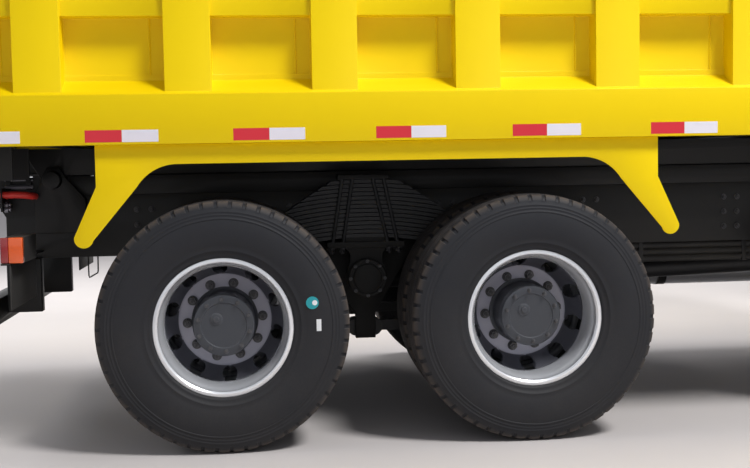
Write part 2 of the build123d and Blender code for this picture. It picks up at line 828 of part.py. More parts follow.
def make_rear_springs():
    width_y = (spring_y - spring_width / 2, spring_y + spring_width / 2)
    seat_z = (leaf_bottom_z - 50, leaf_bottom_z + 2)
    lip_y = (width_y[0] - 20, width_y[1] + 20)
    bell = rounded([
        (bogie_x - 130, seat_z[0] + 10, 0), (bogie_x - 76, seat_z[0] - 22, 30),
        (bogie_x - 93, trunnion_z + 40, 0), (bogie_x - 60, trunnion_z - 75, 0),
        (bogie_x + 60, trunnion_z - 75, 0), (bogie_x + 93, trunnion_z + 40, 0),
        (bogie_x + 76, seat_z[0] - 22, 30), (bogie_x + 130, seat_z[0] + 10, 0),
    ])
    saddle = side_solid(bell, width_y)
    saddle += block((bogie_x - 110, bogie_x + 110), width_y, seat_z)
    saddle += block((bogie_x - 190, bogie_x + 185), lip_y, (seat_z[0], seat_z[0] + 30))
    saddle += bar_y(bogie_x, trunnion_z, trunnion_cap_radius, width_y)
    saddle -= bar_y(bogie_x, trunnion_z, trunnion_radius + seat_gap, width_y)
    top_z = leaf_bottom_z + 14 * (leaf_thickness + leaf_gap) - leaf_gap
    clamp = block((bogie_x - 135, bogie_x + 112), lip_y, (top_z, top_z + 24))
    spring = leaf_pack() + saddle + clamp
    # U bolts, (top, bottom) along the lorry from the bogie's middle
    for top, bottom in ((-114, -168), (-65, -117), (38, 110), (90, 158)):
        leg = [(bogie_x + top - 9, top_z + 4), (bogie_x + top + 9, top_z + 4),
               (bogie_x + bottom + 9, leaf_bottom_z - 50), (bogie_x + bottom - 9, leaf_bottom_z - 50)]
        for y in (width_y[0] - 19, width_y[1] + 1):
            spring += side_shape(leg, (y, y + 18))
    save("rear_leaf_springs", spring, other_side(spring))


def rear_axle(x):
    # Banjo casing, tubes, brake back plates and spindles, with its spring and torque rod seats
    plate_y = dual_middle_y - disc_thickness - drum_width - swing_gap
    tube = [
        (190, 90),
        (78, 290),
        (78, plate_y - 10),
        (drum_radius - 8, plate_y - 10),
        (drum_radius - 8, plate_y),
        (spindle_radius, plate_y),
        (spindle_radius, dual_middle_y - 1),
        (0, dual_middle_y - 1),
    ]
    across = tube + [(radius, -y) for radius, y in reversed(tube)]
    casing = turned(across, x, axle_z)
    roller = 40
    centre_z = leaf_bottom_z - leaf_arch_radius
    aim = atan2(x - bogie_x, sqrt(leaf_arch_radius**2 - (x - bogie_x) ** 2))
    reach = leaf_arch_radius - roller - seat_gap
    roller_x = bogie_x + reach * sin(aim)
    roller_z = centre_z + reach * cos(aim)
    seat_y = (spring_y - spring_width / 2, spring_y + spring_width / 2)
    seat = bar_y(roller_x, roller_z, roller, seat_y)
    seat += block((roller_x - 38, roller_x + 38), seat_y, (axle_z + 30, roller_z))
    lug_y = (rail_inner_y + 30, rail_inner_y + 80)
    lug = block((x - 45, x + 45), lug_y, (tongue_bottom_z, axle_z))
    return casing + seat + other_side(seat) + lug + other_side(lug)


def make_rear_axles():
    nose_z = axle_z + 70
    middle = rear_axle(middle_axle_x) + bar_x(0, nose_z, 66, (middle_axle_x - 300, middle_axle_x + 380))
    rear = rear_axle(rear_axle_x) + bar_x(0, nose_z, 66, (rear_axle_x + 50, rear_axle_x + 380))
    save("rear_axle_housings", middle, rear)


def make_torque_rods():
    # Lower rods, eyes flat against the trunnion's tongue and the axle's lug
    rod_z = tongue_bottom_z + 50
    eye_y = (rail_inner_y - 30, rail_inner_y + 30)
    rods = []
    for axle_x in (rear_axle_x, middle_axle_x):
        side = 1 if axle_x > bogie_x else -1
        near_x = bogie_x + side * 45
        rod = bar_y(near_x, rod_z, 42, (eye_y[0], rail_outer_y)) + bar_y(axle_x, rod_z, 42, eye_y)
        ends = sorted((near_x + side * 30, axle_x - side * 30))
        rod += block(ends, (rail_inner_y - 22, rail_inner_y + 22), (rod_z - 26, rod_z + 26))
        rods += [rod, other_side(rod)]
    save("torque_rods", *rods)


def make_prop_shafts():
    nose_z = axle_z + 70
    front_start = middle_axle_x + 380
    long_shaft = bar_between((front_start + 40, 0, nose_z), (gearbox_rear_x - 40, 0, gearbox_z), 55)
    long_shaft += bar_x(0, nose_z, 75, (front_start, front_start + 60))
    long_shaft += bar_x(0, gearbox_z, 75, (gearbox_rear_x - 60, gearbox_rear_x))
    short_shaft = bar_x(0, nose_z, 50, (rear_axle_x + 380, middle_axle_x - 300))
    short_shaft += bar_x(0, nose_z, 70, (rear_axle_x + 380, rear_axle_x + 430))
    save("prop_shafts", long_shaft, short_shaft)


# Engine and front axle

gearbox_z = 690
gearbox_rear_x = front_axle_x - 1000


def make_engine():
    engine = block((front_axle_x - 350, front_axle_x + 900), (-320, 320), (600, cab_floor_z - 20))
    gearbox = block((gearbox_rear_x, front_axle_x - 350), (-190, 190), (520, rail_bottom_z - 10))
    gearbox += block((front_axle_x - 360, front_axle_x - 340), (-190, 190), (600, rail_bottom_z - 10))
    mounts = block((front_axle_x + 250, front_axle_x + 400), (-rail_web_y, rail_web_y), (900, 1000))
    save("engine_block", engine + gearbox + mounts)


def make_front_axle():
    beam = front_shape(
        [
            (-kingpin_y, 500), (-740, 470), (-560, 380), (560, 380), (740, 470), (kingpin_y, 500),
            (kingpin_y, 590), (700, 560), (520, 470), (-520, 470), (-700, 560), (-kingpin_y, 590),
        ],
        (front_axle_x - beam_half_width, front_axle_x + beam_half_width),
    )
    boss = bar_z(front_axle_x, kingpin_y, kingpin_boss_radius, (axle_z - 100, axle_z + 100))
    pin = bar_z(front_axle_x, kingpin_y, 22, (axle_z - 150, axle_z + 150))
    trim = bar_z(front_axle_x, kingpin_y + 60, 60, (300, 800))
    beam = beam - trim - other_side(trim) + boss + other_side(boss) + pin + other_side(pin)
    save("front_axle_beam", beam)


def make_front_springs():
    # Semi-elliptic packs between a fixed hanger and a swinging shackle
    y = (front_spring_y - 40, front_spring_y + 40)
    radius = 2600
    base_z = 470
    pack = block((front_axle_x - 60, front_axle_x + 60), y, (base_z, base_z + 120))
    for number, half in enumerate([300, 480, 650, 780]):
        rise = number * (leaf_thickness + 6) + leaf_thickness
        pack += bent_leaf((front_axle_x, base_z + rise), radius - rise, half, y, True)
    top = radius - 3 * (leaf_thickness + 6) - leaf_thickness / 2
    eye_x = top * sin(780 / top)
    eye_z = base_z + radius - top * cos(780 / top)
    for side in (1, -1):
        x = front_axle_x + side * eye_x
        pack += bar_y(x, eye_z, 38, y)
        pack += block((x - 30, x + 30), (y[0], y[1]), (eye_z, rail_bottom_z))
    save("front_leaf_springs", pack, other_side(pack))


def knuckle():
    # Fork over the beam's end, spindle, and arm for the tie rod
    boss_z = (axle_z - 100, axle_z + 100)
    fork_z = (axle_z - 150, axle_z + 150)
    back_y = kingpin_y + kingpin_boss_radius + 15
    shape = block((front_axle_x - 55, front_axle_x + 55), (back_y, back_y + 40), fork_z)
    for low, high in ((fork_z[0], boss_z[0] - 1), (boss_z[1] + 1, fork_z[1])):
        shape += bar_z(front_axle_x, kingpin_y, kingpin_boss_radius, (low, high))
        shape += block((front_axle_x - 45, front_axle_x + 45), (kingpin_y, back_y), (low, high))
    shape -= bar_z(front_axle_x, kingpin_y, 22 + seat_gap, (fork_z[0], fork_z[1]))
    drum_face_y = front_tyre_y + dual_spacing / 2 - disc_thickness
    plate_y = drum_face_y - front_drum_width - swing_gap
    shape += bar_y(front_axle_x, axle_z, drum_radius - 8, (plate_y - 10, plate_y))
    end_y = front_tyre_y + dual_spacing / 2 - 1
    shape += bar_y(front_axle_x, axle_z, front_spindle_radius, (back_y + 20, end_y))
    arm_z = (steer_arm_z, steer_arm_z + 30)
    tip = (front_axle_x - steer_arm_back, kingpin_y - steer_arm_in)
    arm = Polyline(
        (front_axle_x - 20, kingpin_y + 35), (front_axle_x - 20, kingpin_y - 35),
        (tip[0] + 20, tip[1] - 28), (tip[0] - 20, tip[1] - 28), (tip[0] - 28, tip[1]),
        (tip[0] - 10, tip[1] + 28), (tip[0] + 40, tip[1] + 40), close=True)
    arm = Pos(0, 0, arm_z[0]) * extrude(make_face(arm), arm_z[1] - arm_z[0])
    arm -= bar_z(front_axle_x, kingpin_y, 22 + seat_gap, arm_z)
    shape += arm
    shape -= bar_z(tip[0], tip[1], 12 + seat_gap, arm_z)
    return shape


def make_steering():
    left = knuckle()
    save("knuckle_left", left)
    save("knuckle_right", other_side(left))
    tip_x = front_axle_x - steer_arm_back
    tip_y = kingpin_y - steer_arm_in
    rod_z = steer_arm_z - 28
    rod = bar_y(tip_x, rod_z, 20, (-tip_y, tip_y))
    rod += bar_z(tip_x, tip_y, 24, (rod_z - 24, steer_arm_z - 1))
    rod += bar_z(tip_x, tip_y, 12, (rod_z, steer_arm_z + 30))
    rod += bar_z(tip_x, -tip_y, 24, (rod_z - 24, steer_arm_z - swing_gap))
    save("tie_rod", rod)


# Cab

def cab_solid(inset):
    # The cab's outside, or its inside when pulled in by the wall: side, front and plan views crossed
    front = cab_front_x - inset
    back = cab_back_x + inset
    roof = cab_roof_z - inset
    half = cab_half_width - inset
    low = cab_front_bottom_z
    lean = screen_lean * (roof - screen_low_z) / (screen_high_z - screen_low_z)
    side = rounded([
        (front, low, 0), (front, screen_low_z, 0), (front - lean, roof, cab_brow - inset),
        (back, roof, cab_roof_edge - inset), (back, low, 0),
    ])
    end = rounded([
        (-half, low, 0), (half, low, 0), (half, cab_waist_z, 0),
        (half - cab_lean_in, roof, cab_roof_edge - inset),
        (cab_lean_in - half, roof, cab_roof_edge - inset), (-half, cab_waist_z, 0),
    ])
    plan = rounded([
        (front, -half, cab_front_corner - inset), (front, half, cab_front_corner - inset),
        (back, half, cab_rear_corner - inset), (back, -half, cab_rear_corner - inset),
    ])
    solid = side_solid(side, (-half, half)) & front_solid(end, (back, front))
    return solid & plan_solid(plan, (low, roof))


def door_outline(inset):
    # Side view of the door with its cut for the wheel arch, pulled in by the inset
    front = door_edge_x
    back = front - door_length
    return [
        (front - inset, door_low_z + inset),
        (front - inset, cab_waist_z + 40),
        (front - 125 - inset, door_top_z - inset),
        (back + inset, door_top_z - inset),
        (back + inset, door_low_z + 270 + inset),
        (back + 270 + inset / 2, door_low_z + inset),
    ]


def door_window(gap):
    # Side view of the door's window, pulled in by the gap
    front = door_edge_x - 110 - gap
    back = door_edge_x - 110 - window_length + gap
    corner = window_corner - gap
    return rounded([
        (front, cab_waist_z + gap, corner), (front - 105, window_top_z - gap, corner),
        (back, window_top_z - gap, corner), (back, cab_waist_z + gap, corner),
    ])


def windscreen(depth, gap):
    # A slab along the windscreen's slope between two depths under its outer face
    height = hypot(screen_lean, screen_high_z - screen_low_z)
    half = cab_half_width - screen_side - gap
    low, high = screen_frame + gap, height - screen_frame - gap
    corner = screen_corner - gap
    face = rounded([(-half, low, corner), (half, low, corner), (half, high, corner), (-half, high, corner)])
    up = Vector(-screen_lean, 0, screen_high_z - screen_low_z)
    plane = Plane(origin=(cab_front_x, 0, screen_low_z), x_dir=(0, 1, 0), z_dir=Vector(0, 1, 0).cross(up))
    return plane * Pos(0, 0, -depth[1]) * extrude(face, depth[1] - depth[0])


def rear_pane(x, gap):
    half, low, high = rear_window
    corner = window_corner - gap
    face = rounded([
        (-half + gap, low + gap, corner), (half - gap, low + gap, corner),
        (half - gap, high - gap, corner), (-half + gap, high - gap, corner),
    ])
    return front_solid(face, x)


def hinge_barrel(z, leaf_x, gap):
    # Half of a door hinge: its barrel on the door's axis, and the leaf that carries it
    y = (door_hinge_y - door_hinge_radius, door_hinge_y)
    span = (z - gap, z + door_hinge_length + gap)
    barrel = bar_z(door_hinge_x, door_hinge_y, door_hinge_radius + gap, span)
    return barrel + block(tuple(sorted((door_hinge_x, leaf_x))), y, span)


def make_cab():
    shell = cab_solid(0)
    half = cab_half_width
    inner = cab_solid(cab_wall)
    hollow_z = (cab_floor_z + cab_floor_thickness, cab_roof_z)
    shell -= inner & block((cab_back_x, cab_front_x), (-half, half), hollow_z)
    under = block((cab_back_x - 1, cab_front_x - cab_wall), (cab_wall - half, half - cab_wall),
                  (cab_front_bottom_z - 1, cab_floor_z))
    shell -= under
    skirt_z = (cab_front_bottom_z - 1, cab_skirt_z)
    shell -= block((cab_back_x - 1, cab_front_x - cab_wall), (-half - 1, half + 1), skirt_z)
    shell -= bar_y(front_axle_x, axle_z, arch_radius, (-half - 1, half + 1))
    doorway = side_shape(door_outline(0), (half - 400, half + 1)) & (cab_solid(0) - inner)
    shell = shell - doorway - other_side(doorway)
    shell -= windscreen((-20, cab_wall + 20), 0)
    shell -= rear_pane((cab_back_x - 1, cab_back_x + cab_wall + 1), 0)
    ear_y = (cab_ear_y, cab_ear_y + cab_ear_width)
    ear = side_shape(
        [
            (cab_front_x - cab_wall, cab_pivot_z - 44),
            (cab_pivot_x - 15, cab_pivot_z - 44),
            (cab_pivot_x - 44, cab_pivot_z - 15),
            (cab_pivot_x - 44, cab_pivot_z + 40),
            (cab_front_x - cab_wall, cab_pivot_z + 180),
        ],
        ear_y,
    )
    ear -= bar_y(cab_pivot_x, cab_pivot_z, cab_pin_radius + seat_gap, ear_y)
    shell = shell + ear + other_side(ear)
    for z in door_hinge_heights:
        upper = z + door_hinge_length + seat_gap
        shell -= both_sides(bar_z(door_hinge_x, door_hinge_y, door_hinge_radius + swing_gap, (z - 1, upper)))
        shell += both_sides(hinge_barrel(upper, door_edge_x + 30, 0))
    save("cab_shell", shell)
    glass_x = cab_back_x + 20
    rear_glass = rear_pane((glass_x, glass_x + glass_thickness), seat_gap)
    save("cab_glass", windscreen((14, 14 + glass_thickness), seat_gap), rear_glass)


def make_doors():
    half = cab_half_width
    skin = cab_solid(0) - cab_solid(cab_wall)
    left_only = block((cab_back_x, cab_front_x), (half - 400, half + 1), (cab_front_bottom_z, cab_roof_z))
    slab = side_shape(door_outline(door_gap), (half - 400, half))
    door = slab & skin & left_only
    arch = bar_y(front_axle_x, axle_z, arch_radius + 25, (half - 400, half + 1))
    door -= arch
    window = side_solid(door_window(0), (half - 400, half + 1))
    middle_skin = cab_solid(18) - cab_solid(18 + glass_thickness)
    glass = side_solid(door_window(seat_gap), (half - 400, half)) & middle_skin & left_only
    door -= window
    for z in door_hinge_heights:
        upper = z + door_hinge_length + seat_gap
        upper_z = (upper, upper + door_hinge_length + 1)
        door -= bar_z(door_hinge_x, door_hinge_y, door_hinge_radius + swing_gap, upper_z)
        door += hinge_barrel(z, door_hinge_x - 30, 0)
    save("door_left", door)
    save("door_right", other_side(door))
    save("door_glass_left", glass)
    save("door_glass_right", other_side(glass))


def make_cab_inside():
    floor = cab_floor_z + cab_floor_thickness
    inner_front = cab_front_x - cab_wall
    half = cab_half_width - cab_front_corner
    seat_y = cab_half_width - seat_in
    dash = side_shape(
        [
            (inner_front, floor), (inner_front, cab_waist_z), (inner_front - 260, cab_waist_z),
            (inner_front - 420, cab_waist_z - 120), (inner_front - 400, cab_waist_z - 280),
            (inner_front - 180, cab_waist_z - 340),
            (inner_front - 120, floor),
        ],
        (-half, half),
    )
    seats = []
    for y in (-seat_y, seat_y):
        cushion_z = (floor + 260, floor + 400)
        cushion = block((cab_front_x - 1440, cab_front_x - 920), (y - 250, y + 250), cushion_z)
        base = block((cab_front_x - 1400, cab_front_x - 1000), (y - 190, y + 190), (floor, floor + 260))
        back = side_shape(
            [
                (cab_front_x - 1440, floor + 400), (cab_front_x - 1320, floor + 400),
                (cab_front_x - 1440, floor + 1060), (cab_front_x - 1540, floor + 1060),
            ],
            (y - 240, y + 240),
        )
        seats.append(cushion + base + back)
    save("seats", *seats)
    tilt = Pos(inner_front - 520, seat_y, cab_waist_z) * Rot(0, -28, 0)
    rim = [(240, 8), (235, 17), (215, 17), (210, 8), (210, -8), (215, -17), (235, -17), (240, -8)]
    wheel = tilt * revolve(Plane.XZ * make_face(Polyline(*rim, close=True)), Axis.Z)
    wheel += tilt * Box(430, 30, 16)
    wheel += tilt * Box(30, 430, 16)
    wheel += tilt * Pos(0, 0, -190) * Cylinder(28, 390)
    save("dashboard", dash + wheel)


def make_cab_outside():
    grille_x = (cab_front_x, cab_front_x + 22)
    frame = block(grille_x, (-900, 900), (1080, 1640)) - block(grille_x, (-850, 850), (1120, 1600))
    slats = [block((grille_x[0], grille_x[1] - 6), (-850, 850), (z, z + 40)) for z in range(1150, 1600, 80)]
    bars = [block(grille_x, (y - 12, y + 12), (1120, 1600)) for y in (-425, 0, 425)]
    save("grille", frame + slats + bars)
    half = cab_half_width
    x = cab_front_x - 100
    arm = bar_between((x, half - 90, 2450), (x + 60, half + 150, 2480), 14)
    arm += bar_between((x, half - 90, 2050), (x + 60, half + 150, 2080), 14)
    head = block((x + 35, x + 85), (half + 60, half + 240), (2060, 2500))
    save("mirrors", arm + head - cab_solid(0), other_side(arm + head - cab_solid(0)))


def make_bumper():
    half = cab_half_width
    plan = rounded([
        (front_x - 380, half, 0), (front_x - 120, half, 90), (front_x, half - 260, 160),
        (front_x, 260 - half, 160), (front_x - 120, -half, 90), (front_x - 380, -half, 0),
        (front_x - 380, 60 - half, 0), (front_x - 140, 60 - half, 40), (front_x - 70, 280 - half, 90),
        (front_x - 70, half - 280, 90), (front_x - 140, half - 60, 40), (front_x - 380, half - 60, 0),
    ])
    bumper = plan_solid(plan, (450, cab_front_bottom_z - bumper_drop))
    lamp_z = (640, 820)
    pocket = block((front_x - 60, front_x + 1), (half - 520, half - 270), lamp_z)
    bumper -= pocket + other_side(pocket)
    stay = block((rail_front_x - 200, front_x - 70), (rail_outer_y, rail_outer_y + 40), (780, 860))
    save("front_bumper", bumper + stay + other_side(stay))
    lamp = block((front_x - 60, front_x - 4), (half - 520 + seat_gap, half - 270 - seat_gap),
                 (lamp_z[0] + seat_gap, lamp_z[1] - seat_gap))
    save("headlamps", lamp, other_side(lamp))


def make_steps():
    # Step boxes ahead of the front wheels, mudguards behind them, each on a bar from the rail
    half = cab_half_width
    top = cab_skirt_z - 10
    rear = front_axle_x + arch_radius
    front = front_x - 390
    shell = block((rear, front), (half - 260, half), (400, top))
    for low in (460, 650, 830):
        shell -= block((rear + 40, front - 40), (half - 180, half + 1), (low, low + 130))
    shell += block((rear + 60, rear + 140), (rail_outer_y, half - 200), (880, 940))
    guard_outer = bar_y(front_axle_x, axle_z, arch_radius - 10, (half - 300, half))
    guard_inner = bar_y(front_axle_x, axle_z, arch_radius - 16, (half - 301, half + 1))
    zone = block((front_axle_x - arch_radius, front_axle_x - 440), (half - 301, half + 1), (420, 1100))
    guard = (guard_outer - guard_inner) & zone
    stay = block((front_axle_x - arch_radius - 10, front_axle_x - arch_radius + 120),
                 (rail_outer_y, half - 100), (820, 860))
    stay -= guard_outer
    save("cab_steps", shell, guard + stay, other_side(shell), other_side(guard + stay))


# Tanks and boxes on the rails, and the rear guard

def make_tanks():
    start = middle_axle_x + 1000
    tank = block((start, start + 1250), (rail_outer_y + 60, rail_outer_y + 680), (470, 1040))
    tank = fillet(tank.edges().filter_by(Axis.X), 90)
    straps = [
        block((start + along, start + along + 60), (rail_outer_y, rail_outer_y + 60), (560, 980))
        for along in (220, 970)
    ]
    save("fuel_tank", tank + straps)
    start = front_axle_x - 1500
    box = block((start, start + 560), (-rail_outer_y - 620, -rail_outer_y - 50), (520, 960))
    box += block((start + 200, start + 360), (-rail_outer_y - 50, -rail_outer_y), (830, 930))
    save("battery_box", box)
    pipes = []
    for y, z in ((-rail_outer_y - 160, 760), (-rail_outer_y - 420, 760)):
        pipes.append(bar_x(y, z, 120, (start - 900, start - 120)))
    bracket = block((start - 560, start - 480), (-rail_outer_y - 480, -rail_outer_y), (878, 920))
    save("air_tanks", pipes[0] + pipes[1] + bracket)


def make_rear_guard():
    post_x = (rail_rear_x, rail_rear_x + guard_post_length)
    posts = [
        block(post_x, (side * rail_outer_y - 30, side * rail_outer_y + 30), (543, rail_bottom_z))
        for side in (1, -1)
    ]
    bar = block((post_x[0] - 80, post_x[0]), (-1150, 1150), (510, 630))
    lamp_bar = block((rear_axle_x - 914, rear_axle_x - 874), (-1190, 1190), (830, 838))
    lamp_bar -= block((rear_axle_x - 920, rear_axle_x - 870), (-rail_outer_y, rail_outer_y), (820, 850))
    arms = lamp_bar.solids()
    save("rear_guard", bar + posts, *arms)
    flap = block((rear_axle_x - 880, rear_axle_x - 874), (640, 1180), (640, 830))
    save("mud_flaps", flap, other_side(flap))
    lamp = block((rear_axle_x - 914, rear_axle_x - 823), (880, 1180), (838, 946))
    save("tail_lamps", lamp, other_side(lamp))


make_wheels()
make_frame()
make_cab_mounts()
make_subframe()
make_tipping_hinge()
make_bed()
make_tailgate()
make_ram()
make_trunnion()
make_rear_springs()
make_rear_axles()
make_torque_rods()
make_prop_shafts()
make_engine()
make_front_axle()
make_front_springs()
make_steering()
make_cab()
make_doors()
make_cab_inside()
make_cab_outside()
make_bumper()
make_steps()
make_tanks()
make_rear_guard()
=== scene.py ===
import json
import math
import bmesh
import bpy
from mathutils import Matrix, Vector

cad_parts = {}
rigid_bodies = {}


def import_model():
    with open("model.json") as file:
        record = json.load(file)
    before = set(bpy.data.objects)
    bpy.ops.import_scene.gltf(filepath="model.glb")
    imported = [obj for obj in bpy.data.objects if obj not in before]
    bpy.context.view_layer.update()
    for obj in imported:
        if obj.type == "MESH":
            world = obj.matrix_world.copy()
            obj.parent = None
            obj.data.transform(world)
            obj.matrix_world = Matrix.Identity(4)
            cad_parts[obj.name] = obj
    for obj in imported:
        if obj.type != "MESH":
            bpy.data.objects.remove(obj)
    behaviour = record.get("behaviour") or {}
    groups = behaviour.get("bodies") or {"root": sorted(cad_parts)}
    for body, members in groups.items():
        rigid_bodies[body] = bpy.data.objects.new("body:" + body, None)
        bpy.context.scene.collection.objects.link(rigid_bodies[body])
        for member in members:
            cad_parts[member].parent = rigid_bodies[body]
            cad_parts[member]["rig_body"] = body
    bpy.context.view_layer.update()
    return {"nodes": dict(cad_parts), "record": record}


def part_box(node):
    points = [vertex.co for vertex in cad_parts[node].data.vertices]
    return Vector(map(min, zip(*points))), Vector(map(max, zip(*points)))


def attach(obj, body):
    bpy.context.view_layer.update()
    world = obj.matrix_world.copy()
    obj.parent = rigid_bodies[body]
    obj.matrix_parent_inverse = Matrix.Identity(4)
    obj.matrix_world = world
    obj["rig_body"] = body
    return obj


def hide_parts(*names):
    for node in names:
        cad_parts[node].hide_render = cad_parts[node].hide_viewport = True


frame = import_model()
cadNodes = frame["nodes"]
slotOf = {part["node"]: part["material_slot"] for part in frame["record"]["subparts"]}
sides = ((1, "left"), (-1, "right"))
print("frame loaded:", len(cadNodes), "nodes")


# Meshes and their places

meshLook = {"weld": 0.00002, "bevelProfile": 0.6, "sharpEdge": 0.5}


def seen(red, green, blue):
    # a colour as the eye sees it, 0 to 255, made linear
    parts = [value / 255 for value in (red, green, blue)]
    return (*[v / 12.92 if v <= 0.04045 else ((v + 0.055) / 1.055) ** 2.4 for v in parts], 1.0)


def at(x, y, z):
    return Matrix.Translation((x, y, z))


def turned(degrees, axis):
    return Matrix.Rotation(math.radians(degrees), 4, axis)


def facing(side):
    # what is made facing right, turned round for the left side
    return turned(180, "Z") if side > 0 else Matrix.Identity(4)


def spot(node):
    # middle and size of a CAD node's box
    low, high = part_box(node)
    return (low + high) / 2, high - low


def newPiece(name, data):
    piece = bpy.data.objects.new(name, data)
    bpy.context.scene.collection.objects.link(piece)
    return piece


def smoothed(mesh, angle=32):
    mesh.shade_smooth()
    mesh.set_sharp_from_angle(angle=math.radians(angle))
    return mesh


def meshOf(name, bm):
    mesh = bpy.data.meshes.new(name)
    bm.to_mesh(mesh)
    bm.free()
    return mesh


def closed(name, bm, angle=32):
    # doubles merged, faces turned outwards
    bmesh.ops.remove_doubles(bm, verts=bm.verts, dist=meshLook["weld"])
    bmesh.ops.recalc_face_normals(bm, faces=bm.faces)
    return smoothed(meshOf(name, bm), angle)


def bevelled(bm, edges, width, segments):
    bmesh.ops.bevel(bm, geom=edges, offset=width, segments=segments, affect="EDGES",
                    profile=meshLook["bevelProfile"])


def settled(piece):
    # the plain mesh of a scratch object with its modifiers; the object is thrown away
    graph = bpy.context.evaluated_depsgraph_get()
    mesh = bpy.data.meshes.new_from_object(piece.evaluated_get(graph))
    bpy.data.objects.remove(piece)
    return mesh


def boxMesh(low, high, bevel=0.0, segments=2):
    # a rectangular block between two corners, its edges rounded
    bm = bmesh.new()
    bmesh.ops.create_cube(bm, size=1)
    size = Vector(high) - Vector(low)
    middle = (Vector(high) + Vector(low)) / 2
    bmesh.ops.transform(bm, matrix=Matrix.Translation(middle) @ Matrix.Diagonal((*size, 1)), verts=bm.verts)
    if bevel:
        bevelled(bm, bm.edges[:], bevel, segments)
    return closed("block", bm)


def sideBox(side, low, high, *rounding):
    # a block given for the left side, or its twin on the right
    near, far = sorted((side * low[1], side * high[1]))
    return boxMesh((low[0], near, low[2]), (high[0], far, high[2]), *rounding)


def alongY(pair, depth):
    return (pair[0], depth, pair[1])


def prism(outline, low, high, place=alongY, bevel=0.0, segments=2):
    # a closed outline pulled between two depths; the place rule sets its points
    bm = bmesh.new()
    near = [bm.verts.new(place(pair, low)) for pair in outline]
    far = [bm.verts.new(place(pair, high)) for pair in outline]
    bm.faces.new(near)
    bm.faces.new(far[::-1])
    for k in range(len(outline)):
        n = (k + 1) % len(outline)
        bm.faces.new((near[k], far[k], far[n], near[n]))
    bmesh.ops.recalc_face_normals(bm, faces=bm.faces)
    if bevel:
        sharp = [edge for edge in bm.edges if edge.calc_face_angle(0) > meshLook["sharpEdge"]]
        bevelled(bm, sharp, bevel, segments)
    return closed("prism", bm)


def lathe(profile, segments, axis="y", angle=32):
    # a closed profile of (radius, along) pairs turned about an axis through the origin
    bm = bmesh.new()
    rings = []
    for step in range(segments):
        turn = 2 * math.pi * step / segments
        c, s = math.cos(turn), math.sin(turn)
        rings.append([
            bm.verts.new({"x": (a, r * c, r * s), "y": (r * c, a, r * s), "z": (r * c, r * s, a)}[axis])
            for r, a in profile])
    for ring, after in zip(rings, rings[1:] + rings[:1]):
        for k in range(len(profile)):
            n = (k + 1) % len(profile)
            if profile[k][0] > 0 or profile[n][0] > 0:
                bm.faces.new((ring[k], ring[n], after[n], after[k]))
    return closed("turned", bm, angle)


def backwards(profile):
    # a profile given outwards, for a lathe piece that faces -Y
    return [(radius, -out) for radius, out in profile]


def tube(points, radius, fineness=3, order=2):
    # a round bar or pipe along a line through control points
    curve = bpy.data.curves.new("tube", "CURVE")
    curve.dimensions = "3D"
    spline = curve.splines.new("NURBS")
    spline.points.add(len(points) - 1)
    for knot, point in zip(spline.points, points):
        knot.co = (*point, 1)
    spline.order_u = order
    spline.use_endpoint_u = True
    spline.resolution_u = 6
    curve.bevel_depth = radius
    curve.bevel_resolution = fineness
    curve.use_fill_caps = True
    return smoothed(settled(newPiece("tube", curve)), 50)


def joined(name, placed):
    # copies of meshes in one, each given as (mesh, finish number, where it goes)
    bm = bmesh.new()
    for mesh, number, *where in placed:
        copy = mesh.copy()
        for place in where:
            copy.transform(place)
        if number is not None:
            for face in copy.polygons:
                face.material_index = number
        bm.from_mesh(copy)
        bpy.data.meshes.remove(copy)
    return meshOf(name, bm)


def fitted(name, node, placed, finishes, angle=35, replaces=False):
    # a joined piece that rides with a CAD node, and may stand for it
    piece = newPiece(name, smoothed(joined(name, placed), angle))
    for material in finishes:
        piece.data.materials.append(material)
    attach(piece, cadNodes[node]["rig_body"])
    if replaces:
        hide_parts(node)
    return piece


# Node trees, built from nodes whose inputs take a value or another node's socket

def feed(tree, node, inputs):
    for key, value in inputs.items():
        if isinstance(value, bpy.types.NodeSocket):
            tree.links.new(value, node.inputs[key])
        else:
            node.inputs[key].default_value = value


def addNode(tree, kind, inputs=None, **settings):
    node = tree.nodes.new(kind)
    for label, value in settings.items():
        setattr(node, label, value)
    feed(tree, node, inputs or {})
    return node


def newGroup(name, kind, inputs, outputs):
    group = bpy.data.node_groups.new(name, kind)
    for label, socketKind, *value in inputs:
        socket = group.interface.new_socket(name=label, in_out="INPUT", socket_type="NodeSocket" + socketKind)
        if value:
            socket.default_value = value[0]
    for label, socketKind in outputs:
        group.interface.new_socket(name=label, in_out="OUTPUT", socket_type="NodeSocket" + socketKind)
    return group, addNode(group, "NodeGroupInput").outputs, addNode(group, "NodeGroupOutput")


def mathNode(tree, operation, first, second, clamp=False):
    return addNode(tree, "ShaderNodeMath", {0: first, 1: second}, operation=operation,
                   use_clamp=clamp).outputs["Value"]


def noiseNode(tree, scale, detail=3.0, roughness=0.5):
    place = addNode(tree, "ShaderNodeTexCoord").outputs["Object"]
    return addNode(tree, "ShaderNodeTexNoise", {
        "Vector": place, "Scale": scale, "Detail": detail, "Roughness": roughness}).outputs["Fac"]


def mixColor(tree, factor, first, second):
    return addNode(tree, "ShaderNodeMix", {0: factor, 6: first, 7: second}, data_type="RGBA").outputs[2]


def finishTree(tree, given, out, instances):
    # realized, welded where copies meet, and given their finish
    realize = addNode(tree, "GeometryNodeRealizeInstances", {"Geometry": instances})
    weld = addNode(tree, "GeometryNodeMergeByDistance", {
        "Geometry": realize.outputs["Geometry"], "Distance": given["Weld"]})
    paint = addNode(tree, "GeometryNodeSetMaterial", {
        "Geometry": weld.outputs["Geometry"], "Material": given["Finish"]})
    feed(tree, out, {"Geometry": paint.outputs["Geometry"]})
    return tree


